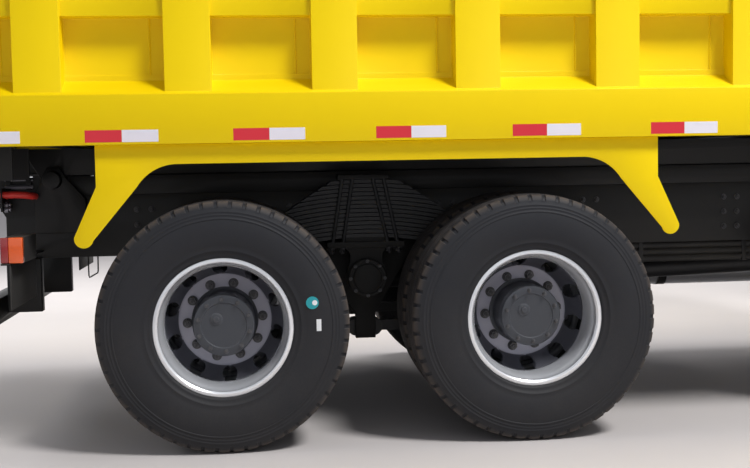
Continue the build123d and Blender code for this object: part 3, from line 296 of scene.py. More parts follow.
def ringTree():
    # copies turned about the Y axis through the origin
    tree, given, out = newGroup("ringOfCopies", "GeometryNodeTree", [
        ("Geometry", "Geometry"), ("Count", "Int", 10), ("Weld", "Float", 0.00001), ("Finish", "Material"),
    ], [("Geometry", "Geometry")])
    points = addNode(tree, "GeometryNodePoints", {"Count": given["Count"]})
    index = addNode(tree, "GeometryNodeInputIndex")
    share = mathNode(tree, "DIVIDE", index.outputs["Index"], given["Count"])
    turn = mathNode(tree, "MULTIPLY", share, 2 * math.pi)
    spin = addNode(tree, "FunctionNodeAxisAngleToRotation", {"Axis": (0, 1, 0), "Angle": turn})
    copies = addNode(tree, "GeometryNodeInstanceOnPoints", {
        "Points": points.outputs["Points"], "Instance": given["Geometry"],
        "Rotation": spin.outputs["Rotation"]})
    return finishTree(tree, given, out, copies.outputs["Instances"])


def gridTree():
    # copies in a row, or in rows and columns
    tree, given, out = newGroup("rowsOfCopies", "GeometryNodeTree", [
        ("Geometry", "Geometry"), ("Count", "Int", 5), ("Step", "Vector", (0.1, 0, 0)), ("Rows", "Int", 1),
        ("Row Step", "Vector", (0, 0, 0.1)), ("Weld", "Float", 0.00001), ("Finish", "Material"),
    ], [("Geometry", "Geometry")])
    stages = given["Geometry"]
    for count, step in (("Count", "Step"), ("Rows", "Row Step")):
        line = addNode(tree, "GeometryNodeMeshLine", {
            "Start Location": (0, 0, 0), "Count": given[count], "Offset": given[step]}, mode="OFFSET")
        copies = addNode(tree, "GeometryNodeInstanceOnPoints", {
            "Points": line.outputs["Mesh"], "Instance": stages})
        stages = copies.outputs["Instances"]
    return finishTree(tree, given, out, stages)


def repeated(mesh, tree, **sizes):
    # a mesh repeated by a tree, its inputs set by their identifiers
    piece = newPiece("scratch", mesh)
    modifier = piece.modifiers.new("repeat", "NODES")
    modifier.node_group = tree
    for item in tree.interface.items_tree:
        label = item.name.replace(" ", "")
        if item.item_type == "SOCKET" and item.in_out == "INPUT" and label in sizes:
            modifier[item.identifier] = sizes[label]
    return smoothed(settled(piece))


ringOfCopies = ringTree()
rowsOfCopies = gridTree()
print("trees built")


# Shader groups shared by the finishes

dustLook = {"reach": 1.15, "upwards": 0.7, "upwardsPower": 3.0, "patches": 1.5, "speckScale": 160.0,
            "speckFloor": 0.5, "roughening": 0.5}
wearAndHighlightLook = {"radius": 0.012, "gain": 6.0}
broadScale = 2.2   # of the tint's patches


def dustGroup():
    # a film of dust, heavier near the road and on what faces up
    group, given, out = newGroup("roadDust", "ShaderNodeTree", [
        ("Color", "Color", (0.5, 0.5, 0.5, 1)), ("Dust", "Color", (0.3, 0.26, 0.2, 1)),
        ("Amount", "Float", 0.3), ("Clean Height", "Float", 1.5), ("Roughness", "Float", 0.4),
        ("Patch Scale", "Float", 3.0),
    ], [("Color", "Color"), ("Roughness", "Float")])
    place = addNode(group, "ShaderNodeTexCoord").outputs["Object"]
    height = addNode(group, "ShaderNodeSeparateXYZ", {"Vector": place})
    low = mathNode(group, "DIVIDE", height.outputs["Z"], given["Clean Height"])
    low = mathNode(group, "SUBTRACT", dustLook["reach"], low, clamp=True)
    surface = addNode(group, "ShaderNodeNewGeometry")
    normal = addNode(group, "ShaderNodeSeparateXYZ", {"Vector": surface.outputs["Normal"]})
    up = mathNode(group, "MAXIMUM", normal.outputs["Z"], 0.0)
    up = mathNode(group, "POWER", up, dustLook["upwardsPower"])
    patches = noiseNode(group, given["Patch Scale"], detail=6.0, roughness=0.65)
    specks = noiseNode(group, dustLook["speckScale"], detail=2.0)
    cover = mathNode(group, "ADD", low, mathNode(group, "MULTIPLY", up, dustLook["upwards"]))
    cover = mathNode(group, "MULTIPLY", cover, mathNode(group, "MULTIPLY", patches, dustLook["patches"]))
    cover = mathNode(group, "MULTIPLY", cover, mathNode(group, "ADD", specks, dustLook["speckFloor"]))
    cover = mathNode(group, "MULTIPLY", cover, given["Amount"], clamp=True)
    rough = mathNode(group, "MULTIPLY", cover, dustLook["roughening"])
    rough = mathNode(group, "ADD", given["Roughness"], rough, clamp=True)
    feed(group, out, {"Color": mixColor(group, cover, given["Color"], given["Dust"]), "Roughness": rough})
    return group


def edgeGroup():
    # rubbed edges and painted edge highlights, a lighter colour where the rounded normal leaves the plain one
    group, given, out = newGroup("edgeWearAndHighlight", "ShaderNodeTree", [
        ("Color", "Color", (0.5, 0.5, 0.5, 1)), ("Edge", "Color", (0.6, 0.6, 0.6, 1)),
        ("Amount", "Float", 0.5), ("Break Up", "Float", 25.0),
    ], [("Color", "Color")])
    rounded = addNode(group, "ShaderNodeBevel", {"Radius": wearAndHighlightLook["radius"]}, samples=4)
    surface = addNode(group, "ShaderNodeNewGeometry")
    agree = addNode(group, "ShaderNodeVectorMath", {
        0: rounded.outputs["Normal"], 1: surface.outputs["Normal"]}, operation="DOT_PRODUCT")
    edge = mathNode(group, "SUBTRACT", 1.0, agree.outputs["Value"], clamp=True)
    edge = mathNode(group, "MULTIPLY", edge, wearAndHighlightLook["gain"])
    edge = mathNode(group, "MULTIPLY", edge, noiseNode(group, given["Break Up"], detail=4.0))
    edge = mathNode(group, "MULTIPLY", edge, given["Amount"], clamp=True)
    feed(group, out, {"Color": mixColor(group, edge, given["Color"], given["Edge"])})
    return group


def grainGroup():
    # broad ripple and fine grain, as a height, and a tint in large patches
    group, given, out = newGroup("surfaceGrain", "ShaderNodeTree", [
        ("Color", "Color", (0.5, 0.5, 0.5, 1)), ("Tint", "Color", (0.4, 0.4, 0.4, 1)),
        ("Tint Amount", "Float", 0.3), ("Ripple Scale", "Float", 12.0), ("Grain Scale", "Float", 400.0),
        ("Grain Share", "Float", 0.5),
    ], [("Color", "Color"), ("Height", "Float")])
    ripple = noiseNode(group, given["Ripple Scale"], detail=2.0)
    grain = noiseNode(group, given["Grain Scale"])
    broad = noiseNode(group, broadScale, detail=5.0, roughness=0.6)
    height = mathNode(group, "ADD", ripple, mathNode(group, "MULTIPLY", grain, given["Grain Share"]))
    tint = mathNode(group, "MULTIPLY", broad, given["Tint Amount"], clamp=True)
    feed(group, out, {"Color": mixColor(group, tint, given["Color"], given["Tint"]), "Height": height})
    return group


roadDust = dustGroup()
edgeWearAndHighlight = edgeGroup()
surfaceGrain = grainGroup()

baseLook = {
    "metallic": 0.0, "coat": 0.0, "coatRoughness": 0.08, "specular": 0.5, "tintAmount": 0.4, "ripple": 12.0,
    "grain": 400.0, "grainShare": 0.5, "edge": None, "edgeAmount": 0.5, "dust": (150, 140, 125),
    "dustAmount": 0.05, "cleanHeight": 1.5, "bump": 0.15, "bumpDepth": 0.001,
}


def newMaterial(name):
    material = bpy.data.materials.new(name)
    material.use_nodes = True
    return material, material.node_tree, material.node_tree.nodes["Principled BSDF"]


def finish(name, color, tint, roughness, **changes):
    # grain, then rubbed edges with painted edge highlights, then dust, laid one over the other
    look = {**baseLook, **changes}
    material, tree, shader = newMaterial(name)
    grain = addNode(tree, "ShaderNodeGroup", {
        "Color": seen(*color), "Tint": seen(*(tint or color)), "Tint Amount": look["tintAmount"],
        "Ripple Scale": look["ripple"], "Grain Scale": look["grain"], "Grain Share": look["grainShare"],
    }, node_tree=surfaceGrain, name="grain")
    top = grain.outputs["Color"]
    if look["edge"]:
        top = addNode(tree, "ShaderNodeGroup", {
            "Color": top, "Edge": seen(*look["edge"]), "Amount": look["edgeAmount"],
        }, node_tree=edgeWearAndHighlight).outputs["Color"]
    dust = addNode(tree, "ShaderNodeGroup", {
        "Color": top, "Dust": seen(*look["dust"]), "Amount": look["dustAmount"],
        "Clean Height": look["cleanHeight"], "Roughness": roughness,
    }, node_tree=roadDust, name="dust")
    bump = addNode(tree, "ShaderNodeBump", {
        "Strength": look["bump"], "Distance": look["bumpDepth"], "Height": grain.outputs["Height"],
    }, name="bump")
    feed(tree, shader, {
        "Base Color": dust.outputs["Color"], "Roughness": dust.outputs["Roughness"],
        "Normal": bump.outputs["Normal"], "Metallic": look["metallic"], "Coat Weight": look["coat"],
        "Coat Roughness": look["coatRoughness"], "Specular IOR Level": look["specular"],
    })
    return material


def glassFinish(name, color, roughness):
    material, tree, shader = newMaterial(name)
    dust = addNode(tree, "ShaderNodeGroup", {
        "Amount": 0.1, "Clean Height": 3.0, "Roughness": roughness}, node_tree=roadDust)
    feed(tree, shader, {"Base Color": seen(*color), "Transmission Weight": 1.0, "IOR": 1.45,
                        "Roughness": dust.outputs["Roughness"]})
    return material


def tyreFinish():
    # black rubber, browner where it is worn, after the piece's own attribute
    material = finish("tyreRubber", (29, 31, 37), (22, 24, 29), 0.62, ripple=60.0, grain=500.0, grainShare=0.8,
                      bump=0.16, cleanHeight=1.2, specular=0.26)
    tree = material.node_tree
    wear = addNode(tree, "ShaderNodeAttribute", attribute_name="treadWear").outputs["Fac"]
    patches = mathNode(tree, "MULTIPLY", noiseNode(tree, 9.0, detail=5.0), 1.3)
    amount = mathNode(tree, "MULTIPLY", wear, patches, clamp=True)
    worn = mixColor(tree, amount, tree.nodes["grain"].outputs["Color"], seen(98, 88, 80))
    feed(tree, tree.nodes["dust"], {"Color": worn})
    return material


def weaveFinish(name, color, thread):
    # woven seat cloth
    material = finish(name, color, None, 0.85, bump=0.3, dustAmount=0.04, cleanHeight=2.4)
    tree = material.node_tree
    place = addNode(tree, "ShaderNodeTexCoord").outputs["Object"]
    waves = [addNode(tree, "ShaderNodeTexWave", {"Vector": place, "Scale": thread},
                     bands_direction=direction).outputs["Fac"] for direction in ("X", "Z")]
    feed(tree, tree.nodes["bump"], {"Height": mathNode(tree, "ADD", *waves)})
    return material


yellow, deepYellow = (242, 210, 0), (235, 201, 0)
# the lighter yellow edge colour is a painted highlight along the paint's edges
paintLook = {"ripple": 9.0, "grain": 260.0, "grainShare": 0.35, "edge": (250, 220, 12), "dust": (214, 178, 16),
             "cleanHeight": 3.4, "specular": 0.18}
tapeFilm = {"ripple": 900.0, "bump": 0.12, "coat": 0.4}
lensLook = {"coat": 0.8, "ripple": 70.0, "grain": 200.0, "bump": 0.3, "dustAmount": 0.08}

bedPaint = finish("bedPaint", yellow, deepYellow, 0.45, **paintLook, coat=0.06, coatRoughness=0.15, bump=0.05,
                  edgeAmount=0.4, dustAmount=0.06)
cabPaint = finish("cabPaint", yellow, deepYellow, 0.26, **paintLook, coat=0.6, coatRoughness=0.05, bump=0.02,
                  edgeAmount=0.2)
framePaint = finish("framePaint", (17, 18, 20), (12, 13, 14), 0.5, coat=0.05, specular=0.3, edge=(38, 39, 42),
                    dustAmount=0.04, bump=0.12)
castIron = finish("castIron", (20, 21, 23), (14, 15, 16), 0.62, ripple=30.0, grain=300.0, grainShare=0.9,
                  edge=(40, 40, 42), bump=0.35, bumpDepth=0.0015, specular=0.3)
springSteel = finish("springSteel", (26, 28, 32), (18, 19, 22), 0.45, metallic=0.2, grain=350.0,
                     edge=(60, 62, 66), edgeAmount=0.8, bump=0.2, specular=0.4)
enginePaint = finish("enginePaint", (58, 61, 63), (44, 46, 48), 0.5, ripple=20.0, edge=(96, 96, 94), bump=0.2,
                     dustAmount=0.25)
darkPlastic = finish("darkPlastic", (30, 31, 34), (25, 26, 28), 0.58, grain=700.0, grainShare=1.0, bump=0.2,
                     edge=(52, 52, 54), edgeAmount=0.2, dustAmount=0.08)
rubberFinish = finish("rubberFinish", (20, 21, 23), (26, 26, 27), 0.72, grain=300.0, bump=0.2,
                      edge=(44, 43, 42), edgeAmount=0.3, dustAmount=0.15, cleanHeight=1.0)
# the rim's near-white edge colour is a painted highlight on its lips
rimPaint = finish("rimPaint", (232, 234, 238), (218, 220, 226), 0.24, metallic=0.6, ripple=14.0, grain=500.0,
                  bump=0.008, edge=(250, 250, 252), edgeAmount=0.1, dustAmount=0.03, cleanHeight=1.1, coat=0.5)
discPaint = finish("discPaint", (182, 182, 196), (166, 166, 180), 0.42, metallic=0.15, grain=500.0, bump=0.08,
                   edge=(180, 180, 190), edgeAmount=0.3)
# the dish's darker colour is painted shade on the disc's slope outside the pale ring
dishPaintedShade = finish("dishPaintedShade", (84, 86, 96), (72, 74, 84), 0.5, metallic=0.1, grain=500.0, bump=0.1,
                   edge=(96, 96, 104), edgeAmount=0.3)
hubPaint = finish("hubPaint", (52, 56, 64), (42, 46, 53), 0.5, metallic=0.1, ripple=26.0, grain=320.0,
                  grainShare=0.8, bump=0.25, edge=(90, 92, 98), edgeAmount=0.6, cleanHeight=1.2)
boltSteel = finish("boltSteel", (44, 45, 49), (34, 35, 38), 0.42, metallic=0.3, grain=600.0, bump=0.1,
                   edge=(92, 92, 96), dustAmount=0.06)
ramSteel = finish("ramSteel", (214, 216, 220), (196, 198, 204), 0.16, metallic=1.0, bump=0.02, dustAmount=0.06,
                  cleanHeight=2.0)
tankMetal = finish("tankMetal", (196, 199, 203), (176, 179, 184), 0.34, metallic=0.9, ripple=40.0, grain=500.0,
                   bump=0.08, dustAmount=0.2, cleanHeight=1.2)
tapeRed = finish("tapeRed", (214, 26, 46), (196, 18, 38), 0.3, **tapeFilm)
tapeWhite = finish("tapeWhite", (233, 229, 238), (214, 210, 222), 0.3, **tapeFilm)
hoseRed = finish("hoseRed", (240, 60, 52), (226, 44, 40), 0.35, bump=0.05, dustAmount=0.1)
fittingMetal = finish("fittingMetal", (150, 150, 160), (120, 120, 128), 0.35, metallic=0.8, bump=0.06,
                      dustAmount=0.15)
lampRed = finish("lampRed", (150, 10, 20), (120, 4, 14), 0.14, **lensLook)
lampAmber = finish("lampAmber", (230, 92, 12), (214, 74, 6), 0.14, **lensLook)
mirrorFace = finish("mirrorFace", (236, 238, 240), None, 0.03, metallic=1.0, bump=0.0, dustAmount=0.02)
lampBowl = finish("lampBowl", (230, 232, 236), None, 0.12, metallic=0.9, bump=0.02, dustAmount=0.02)
stickerTeal = finish("stickerTeal", (20, 150, 160), None, 0.4, bump=0.02, dustAmount=0.03)
stickerWhite = finish("stickerWhite", (228, 230, 232), None, 0.4, bump=0.02, dustAmount=0.03)
cabGlass = glassFinish("cabGlass", (214, 226, 222), 0.02)
lampClear = glassFinish("lampClear", (240, 243, 246), 0.05)
tyreRubber = tyreFinish()
seatFabric = weaveFinish("seatFabric", (58, 60, 66), 110.0)
print("finishes mixed")


# Each CAD piece gets its slot's finish

slotFinish = {
    "bed_paint": bedPaint, "cab_paint": cabPaint, "frame_paint": framePaint, "cast_iron": castIron,
    "spring_steel": springSteel, "engine": enginePaint, "dark_plastic": darkPlastic,
    "rubber": rubberFinish, "tyre": tyreRubber, "rim_silver": rimPaint, "ram_steel": ramSteel,
    "tank_aluminium": tankMetal, "glass": cabGlass, "lamp_clear": lampClear, "lamp_red": lampRed,
    "seat_fabric": seatFabric,
}
for name, node in cadNodes.items():
    node.data.materials.clear()
    node.data.materials.append(slotFinish[slotOf[name]])
    for face in node.data.polygons:
        face.material_index = 0


# Tyres

tyreLook = {
    "pitches": 54,                            # shoulder blocks round the tyre
    "notch": (0.0, 0.07, 0.25, 0.32, 0.66),   # columns of one pitch; the notch is between 2nd and 3rd
    "notchDepth": 0.007, "zigzag": 0.004, "grooveDepth": 0.013, "beadRadius": 0.287, "rimHalf": 0.119,
}
tyreMiddle, tyreSize = spot("front_tyre_right")
tyreRadius, tyreWidth = tyreSize.z / 2, tyreSize.y
beadRadius, rimHalf = tyreLook["beadRadius"], tyreLook["rimHalf"]
twinSpan = spot("rear_tyres_right")[1].y - tyreWidth


def tyreProfile():
    # the closed section: tread, wall and inside of one half, then their mirror image
    r, half = tyreRadius, tyreWidth / 2
    g = r - tyreLook["grooveDepth"]
    tread = [  # (radius, out, worn, zigzag, notched)
        (r, 0, 0.3, 0, 0), (r, 0.024, 0.3, 1, 0), (g, 0.027, 0, 1, 0), (g, 0.032, 0, 1, 0),
        (r - 0.0005, 0.035, 0.3, 1, 0), (r - 0.001, 0.064, 0.3, 1, 0), (g, 0.067, 0, 1, 0),
        (g, 0.073, 0, 1, 0), (r - 0.001, 0.076, 0.3, 1, 0), (r - 0.002, 0.096, 0.3, 0, 0),
        (r - 0.003, 0.104, 0.5, 0, 1), (r - 0.006, 0.118, 0.9, 0, 1), (r - 0.012, 0.1255, 0.5, 0, 1),
        (r - 0.024, 0.1325, 0.1, 0, 1),
    ]
    wall = [  # (below the tread, out)
        (0.030, 0.1352), (0.044, 0.1378), (0.046, 0.1392), (0.049, 0.1396), (0.051, 0.1388), (0.058, 0.1402),
        (0.060, 0.1416), (0.062, 0.1418), (0.064, 0.1410), (0.073, 0.1426), (0.075, 0.1448), (0.079, 0.1452),
        (0.081, 0.1436), (0.100, 0.1476), (0.127, half - 0.0005), (0.160, 0.1485), (0.188, 0.1440),
        (0.206, 0.1382), (0.209, 0.1392), (0.213, 0.1378), (0.216, 0.1345), (0.229, 0.1285), (0.233, 0.1290),
        (0.238, 0.1262),
    ]
    inside = [
        (beadRadius + 0.012, rimHalf - 0.001), (beadRadius + 0.001, rimHalf - 0.018),
        (beadRadius + 0.001, rimHalf - 0.045), (beadRadius + 0.040, half - 0.038), (r - 0.127, half - 0.020),
        (r - 0.035, half - 0.050),
    ]
    row = tread + [(r - drop, out, 0, 0, 0) for drop, out in wall] + [(*pair, 0, 0, 0) for pair in inside]
    return row + [(p[0], -p[1], *p[2:]) for p in reversed(row) if p[1] > 0]


def tyreMesh():
    # one pitch of the tyre, then its copies round the axle
    profile = tyreProfile()
    bm = bmesh.new()
    wearLayer = bm.verts.layers.float.new("treadWear")
    strips = []
    for number, place in enumerate((*tyreLook["notch"], 1.0)):
        turn = 2 * math.pi / tyreLook["pitches"] * place
        inNotch = number in (1, 2)
        sway = tyreLook["zigzag"] * math.sin(2 * math.pi * place)
        strip = []
        for radius, out, wear, zigzag, notched in profile:
            radius -= tyreLook["notchDepth"] * notched * inNotch
            point = bm.verts.new((radius * math.cos(turn), out + sway * zigzag, -radius * math.sin(turn)))
            point[wearLayer] = 0.0 if inNotch and notched else wear
            strip.append(point)
        strips.append(strip)
    for strip, after in zip(strips, strips[1:]):
        for k in range(len(profile)):
            n = (k + 1) % len(profile)
            bm.faces.new((strip[k], strip[n], after[n], after[k]))
    whole = repeated(meshOf("tyrePitch", bm), ringOfCopies, Count=tyreLook["pitches"], Weld=0.00005,
                     Finish=tyreRubber)
    bm = bmesh.new()
    bm.from_mesh(whole)
    bmesh.ops.recalc_face_normals(bm, faces=bm.faces)
    return smoothed(meshOf("tyre", bm), 38)


oneTyre = tyreMesh()
for axle, tyreNode in (("front", "front_tyre"), ("middle", "middle_tyres"), ("rear", "rear_tyres")):
    shifts = (0,) if axle == "front" else (-twinSpan / 2, twinSpan / 2)
    for side, word in sides:
        middle = spot(f"{tyreNode}_{word}")[0]
        placed = [(oneTyre, None, at(middle.x, middle.y + shift, tyreMiddle.z)) for shift in shifts]
        fitted(f"{axle}Tyres_{word}", f"{tyreNode}_{word}", placed, [tyreRubber], angle=38, replaces=True)
print("tyres fitted")


# Wheels, one disc wheel first, its open dish towards -Y

wheelLook = {
    "flangeRadius": 0.298, "wellRadius": 0.266, "rimThickness": 0.009, "discThickness": 0.014,
    "ringRadius": 0.205, "boreRadius": 0.136, "discBack": 0.171,
    "handHoles": 10, "handHoleCircle": 0.236, "handHoleSize": (0.034, 0.027), "handHolePhase": 22.0,
    "nuts": 10, "nutCircle": 0.1675, "nutPhase": 4.0,
    "nut": (0.033, 0.026, 0.0225, 0.010),   # across its flats, height, washer's and stud's radius
}


def rimMesh():
    f, w, t, h = wheelLook["flangeRadius"], wheelLook["wellRadius"], wheelLook["rimThickness"], rimHalf
    b = beadRadius
    outer = [
        (f, h - 0.002), (f, h - 0.006), (f - 0.003, h - 0.009), (b + 0.001, h - 0.013), (b, h - 0.018),
        (b, 0.074), (w, 0.044), (w, -0.030), (b, -0.060), (b, 0.018 - h), (b + 0.001, 0.013 - h),
        (f - 0.003, 0.009 - h), (f, 0.006 - h), (f, 0.002 - h),
    ]
    lip = [
        (b - t - 0.001, h - 0.022), (b - t + 0.0005, h - 0.017), (b - t + 0.0045, h - 0.014),
        (b - t + 0.0045, h - 0.009), (b - t + 0.001, h - 0.006), (f - 0.0185, h - 0.003), (f - 0.015, h),
        (f - 0.003, h),
    ]
    well = [(b - t, -0.066), (w - t, -0.036), (w - t, 0.050), (b - t - 0.008, 0.073), (b - t - 0.001, 0.083),
            (b - t, 0.090)]
    return lathe(backwards(outer + backwards(lip[::-1]) + well + lip), 128, angle=40)


def discMesh():
    # the pressed disc with its hand holes; its flat ring is bolted to the hub
    back, bore, ring = wheelLook["discBack"], wheelLook["boreRadius"], wheelLook["ringRadius"]
    face = back - wheelLook["discThickness"]
    edge = wheelLook["wellRadius"] - wheelLook["rimThickness"] - 0.0003
    disc = newPiece("disc", lathe([
        (bore, face), (ring - 0.006, face), (ring + 0.002, face - 0.003), (ring + 0.010, face - 0.012),
        (ring + 0.026, face - 0.042), (edge - 0.012, face - 0.072), (edge - 0.003, face - 0.092),
        (edge, face - 0.118), (edge, face - 0.085), (edge - 0.004, face - 0.054), (ring + 0.034, face - 0.020),
        (ring + 0.016, back - 0.004), (ring + 0.006, back), (bore, back),
    ], 120, angle=35))
    wide, high = wheelLook["handHoleSize"]
    bm = bmesh.new()
    bmesh.ops.create_cone(bm, cap_ends=True, segments=24, radius1=1, radius2=1, depth=0.2)
    shape = at(wheelLook["handHoleCircle"], back - 0.05, 0) @ turned(90, "X")
    bmesh.ops.transform(bm, matrix=turned(-wheelLook["handHolePhase"], "Y") @ shape @ Matrix.Diagonal(
        (high, wide, 1, 1)), verts=bm.verts)
    drills = newPiece("drills", repeated(closed("drill", bm), ringOfCopies, Count=wheelLook["handHoles"]))
    cut = disc.modifiers.new("holes", "BOOLEAN")
    cut.operation = "DIFFERENCE"
    cut.solver = "EXACT"
    cut.object = drills
    mesh = settled(disc)
    bpy.data.objects.remove(drills)
    for polygon in mesh.polygons:  # pale ring; the dish outside it takes a darker finish, painted shade
        middle = polygon.center
        polygon.material_index = 1 if math.hypot(middle.x, middle.z) < ring + 0.004 else 4
    return smoothed(mesh, 35)


def nutMesh(across, height, washer, stud):
    # a hexagon nut on its washer, with the stud's end standing out of it, facing -Y
    hexagon = across / math.sqrt(3)
    layers = (  # sides, bottom radius, top radius, low, high
        (20, washer, washer - 0.001, 0, 0.005), (6, hexagon, hexagon, 0.005, height - 0.003),
        (6, hexagon, hexagon * 0.88, height - 0.003, height),
        (12, stud, stud * 0.85, height, height + 0.009),
    )
    bm = bmesh.new()
    for count, bottom, top, low, high in layers:
        made = bmesh.ops.create_cone(bm, cap_ends=True, segments=count, radius1=bottom, radius2=top,
                                     depth=high - low)
        bmesh.ops.transform(bm, matrix=at(0, -(low + high) / 2, 0) @ turned(90, "X"), verts=made["verts"])
    return smoothed(closed("nut", bm), 30)


def ringOf(mesh, count, circle, phase, out):
    # copies round the wheel's axle, on a circle, out along -Y
    first = mesh.copy()
    first.transform(turned(-phase, "Y") @ at(circle, -out, 0))
    return repeated(first, ringOfCopies, Count=count, Finish=boltSteel)


hubLook = {
    "radius": 0.134, "collar": 0.148, "capInset": 0.075, "bolts": 10, "boltCircle": 0.114, "boltPhase": 22,
    "plugOffset": (0.032, 0.028), "drumRadius": 0.205, "drumWidth": 0.190,
    "frontRadius": 0.117, "frontReach": 0.055, "frontDrumWidth": 0.150,
    "frontBolts": 6, "frontBoltCircle": 0.088, "frontBoltPhase": 10, "bolt": (0.013, 0.012, 0.0095, 0.003),
}
discThickness, boreRadius, discBack = (wheelLook[key] for key in ("discThickness", "boreRadius", "discBack"))
rearCap = twinSpan / 2 + rimHalf - hubLook["capInset"]
frontCap = discBack + hubLook["frontReach"]


def rearHub():
    # hub with its round cap outwards and the drum inwards; distances out from the twin's middle
    cap, t, r, d, w = rearCap, discThickness, hubLook["radius"], hubLook["drumRadius"], hubLook["drumWidth"]
    collar = hubLook["collar"]
    return lathe(backwards([
        (0, cap - 0.004), (0.096, cap - 0.004), (0.099, cap), (r - 0.012, cap), (r - 0.004, cap - 0.003),
        (r, cap - 0.010), (r, cap - 0.030), (r - 0.003, cap - 0.033), (r - 0.003, cap - 0.038),
        (r, cap - 0.041), (r, t + 0.026), (r + 0.003, t + 0.022), (collar, t + 0.018), (collar, t + 0.0002),
        (boreRadius - 0.001, t), (boreRadius - 0.001, -t), (collar, -t - 0.0002), (d, -t),
        (d, -t - w + 0.02), (d + 0.006, -t - w + 0.016), (d + 0.006, -t - w), (d - 0.014, -t - w),
        (d - 0.014, -t - 0.016), (0.061, -t - 0.016), (0.061, 0), (0, 0),
    ]), 96, angle=30)


def frontHub():
    cap, disc, t = frontCap, discBack, discThickness
    r, d, w = hubLook["frontRadius"], hubLook["drumRadius"], hubLook["frontDrumWidth"]
    return lathe(backwards([
        (0, cap), (r - 0.032, cap), (r - 0.028, cap - 0.003), (r - 0.020, cap - 0.026), (r, cap - 0.030),
        (r, disc + 0.010), (boreRadius + 0.004, disc + 0.008), (boreRadius + 0.004, disc), (d, disc - t),
        (d, disc - t - w + 0.02), (d + 0.006, disc - t - w + 0.016), (d + 0.006, disc - t - w),
        (d - 0.014, disc - t - w), (d - 0.014, disc - t - 0.016), (0.046, disc - t - 0.016), (0.046, disc),
        (0, disc),
    ]), 96, angle=30)


def wheelNuts(out):
    return ringOf(nutMesh(*wheelLook["nut"]), wheelLook["nuts"], wheelLook["nutCircle"], wheelLook["nutPhase"],
                  out)


def wheelParts():
    # what a twin wheel and a front wheel are made of, as (mesh, finish number, where)
    rim, disc, bolt = rimMesh(), discMesh(), nutMesh(*hubLook["bolt"])
    still, about = Matrix.Identity(4), turned(180, "Z")
    outer, inner = at(0, -twinSpan / 2, 0), at(0, twinSpan / 2, 0) @ about
    plug = lathe([(0, 0), (0.026, 0), (0.026, -0.004), (0.022, -0.006), (0.012, -0.006), (0.011, -0.011),
                  (0, -0.011)], 32)
    plugX, plugZ = hubLook["plugOffset"]
    capBolts = ringOf(bolt, hubLook["bolts"], hubLook["boltCircle"], hubLook["boltPhase"], rearCap)
    twin = [
        (rim, 0, outer), (rim, 0, inner), (disc, None, outer), (disc, None, inner), (rearHub(), 2, still),
        (wheelNuts(discThickness), 3, still), (capBolts, 3, still),
        (plug, 2, at(-plugX, -rearCap + 0.004, plugZ)),
    ]
    capBolts = ringOf(bolt, hubLook["frontBolts"], hubLook["frontBoltCircle"], hubLook["frontBoltPhase"],
                      frontCap - 0.028)
    single = [(rim, 0, about), (disc, None, about), (frontHub(), 2, still), (wheelNuts(discBack), 3, still),
              (capBolts, 3, still)]
    return twin, single


twinParts, singleParts = wheelParts()
for node, name, parts in (("middle_wheels", "middleTwinWheel", twinParts),
                          ("rear_wheels", "rearTwinWheel", twinParts),
                          ("front_wheel", "frontWheel", singleParts)):
    for side, word in sides:
        middle = spot(f"{node}_{word}".replace("wheel", "tyre"))[0]
        axle = Matrix.Translation(middle) @ facing(side)
        placed = [(mesh, number, axle @ where) for mesh, number, where in parts]
        fitted(f"{name}_{word}", f"{node}_{word}", placed,
               [rimPaint, discPaint, hubPaint, boltSteel, dishPaintedShade], angle=34, replaces=True)
print("wheels fitted")


# Rear springs: bent leaves held by U bolts between a clamp and the saddle on the trunnion

springLook = {
    "halfLengths": (0.700, 0.700, 0.660, 0.620, 0.575, 0.530, 0.485, 0.440, 0.400, 0.355, 0.312, 0.270, 0.230,
                    0.186),
    "thickness": 0.0184, "gap": 0.0017, "leafSteps": 20, "endShare": 0.3,
    "arch": 1.627, "bottom": 0.872, "seatDrop": 0.050,
    "inner": 0.487, "outer": 0.577, "trunnionZ": 0.676, "bolt": 0.009,
    "bolts": ((-0.114, -0.168), (-0.065, -0.117), (0.038, 0.110), (0.090, 0.158)),   # x at the top, at the foot
    "nut": (0.026, 0.020, 0.017, 0.009), "capBolt": (0.013, 0.009, 0.009, 0.003), "capBolts": 8,
    "capBoltCircle": 0.083, "capBoltsOut": 0.009,
}
bogieX = spot("bogie_trunnion")[0].x


def leafMesh(number, half):
    # one leaf along its arc, its ends drawn out thinner
    rise = number * (springLook["thickness"] + springLook["gap"])
    radius = springLook["arch"] + rise
    centre = springLook["bottom"] + rise - radius
    under, over = [], []
    steps = springLook["leafSteps"]
    for step in range(steps + 1):
        aim = half / radius * (2 * step / steps - 1)
        thin = springLook["endShare"] if step in (0, steps) else 1.0
        under.append((bogieX + radius * math.sin(aim), centre + radius * math.cos(aim)))
        reach = radius + springLook["thickness"] * thin
        over.append((bogieX + reach * math.sin(aim), centre + reach * math.cos(aim)))
    return prism(under + over[::-1], springLook["inner"], springLook["outer"], bevel=0.0015, segments=1)


def saddleMesh(seat):
    # bell casting under the leaves, its eye turned about the trunnion
    z = springLook["trunnionZ"]
    half = [(0.128, seat + 0.012), (0.100, seat - 0.004), (0.084, seat - 0.022), (0.078, seat - 0.045),
            (0.080, seat - 0.070), (0.090, z + 0.045), (0.095, z + 0.012), (0.095, z - 0.012),
            (0.088, z - 0.042), (0.068, z - 0.068), (0.040, z - 0.087), (0.013, z - 0.0945)]
    outline = [(bogieX + x, z) for x, z in half] + [(bogieX - x, z) for x, z in reversed(half)]
    return prism(outline, springLook["inner"], springLook["outer"], bevel=0.006)


def springBlock(rear, front, low, high, wider=0.0, bevel=0.006):
    return boxMesh((bogieX + rear, springLook["inner"] - wider, low),
                   (bogieX + front, springLook["outer"] + wider, high), bevel)


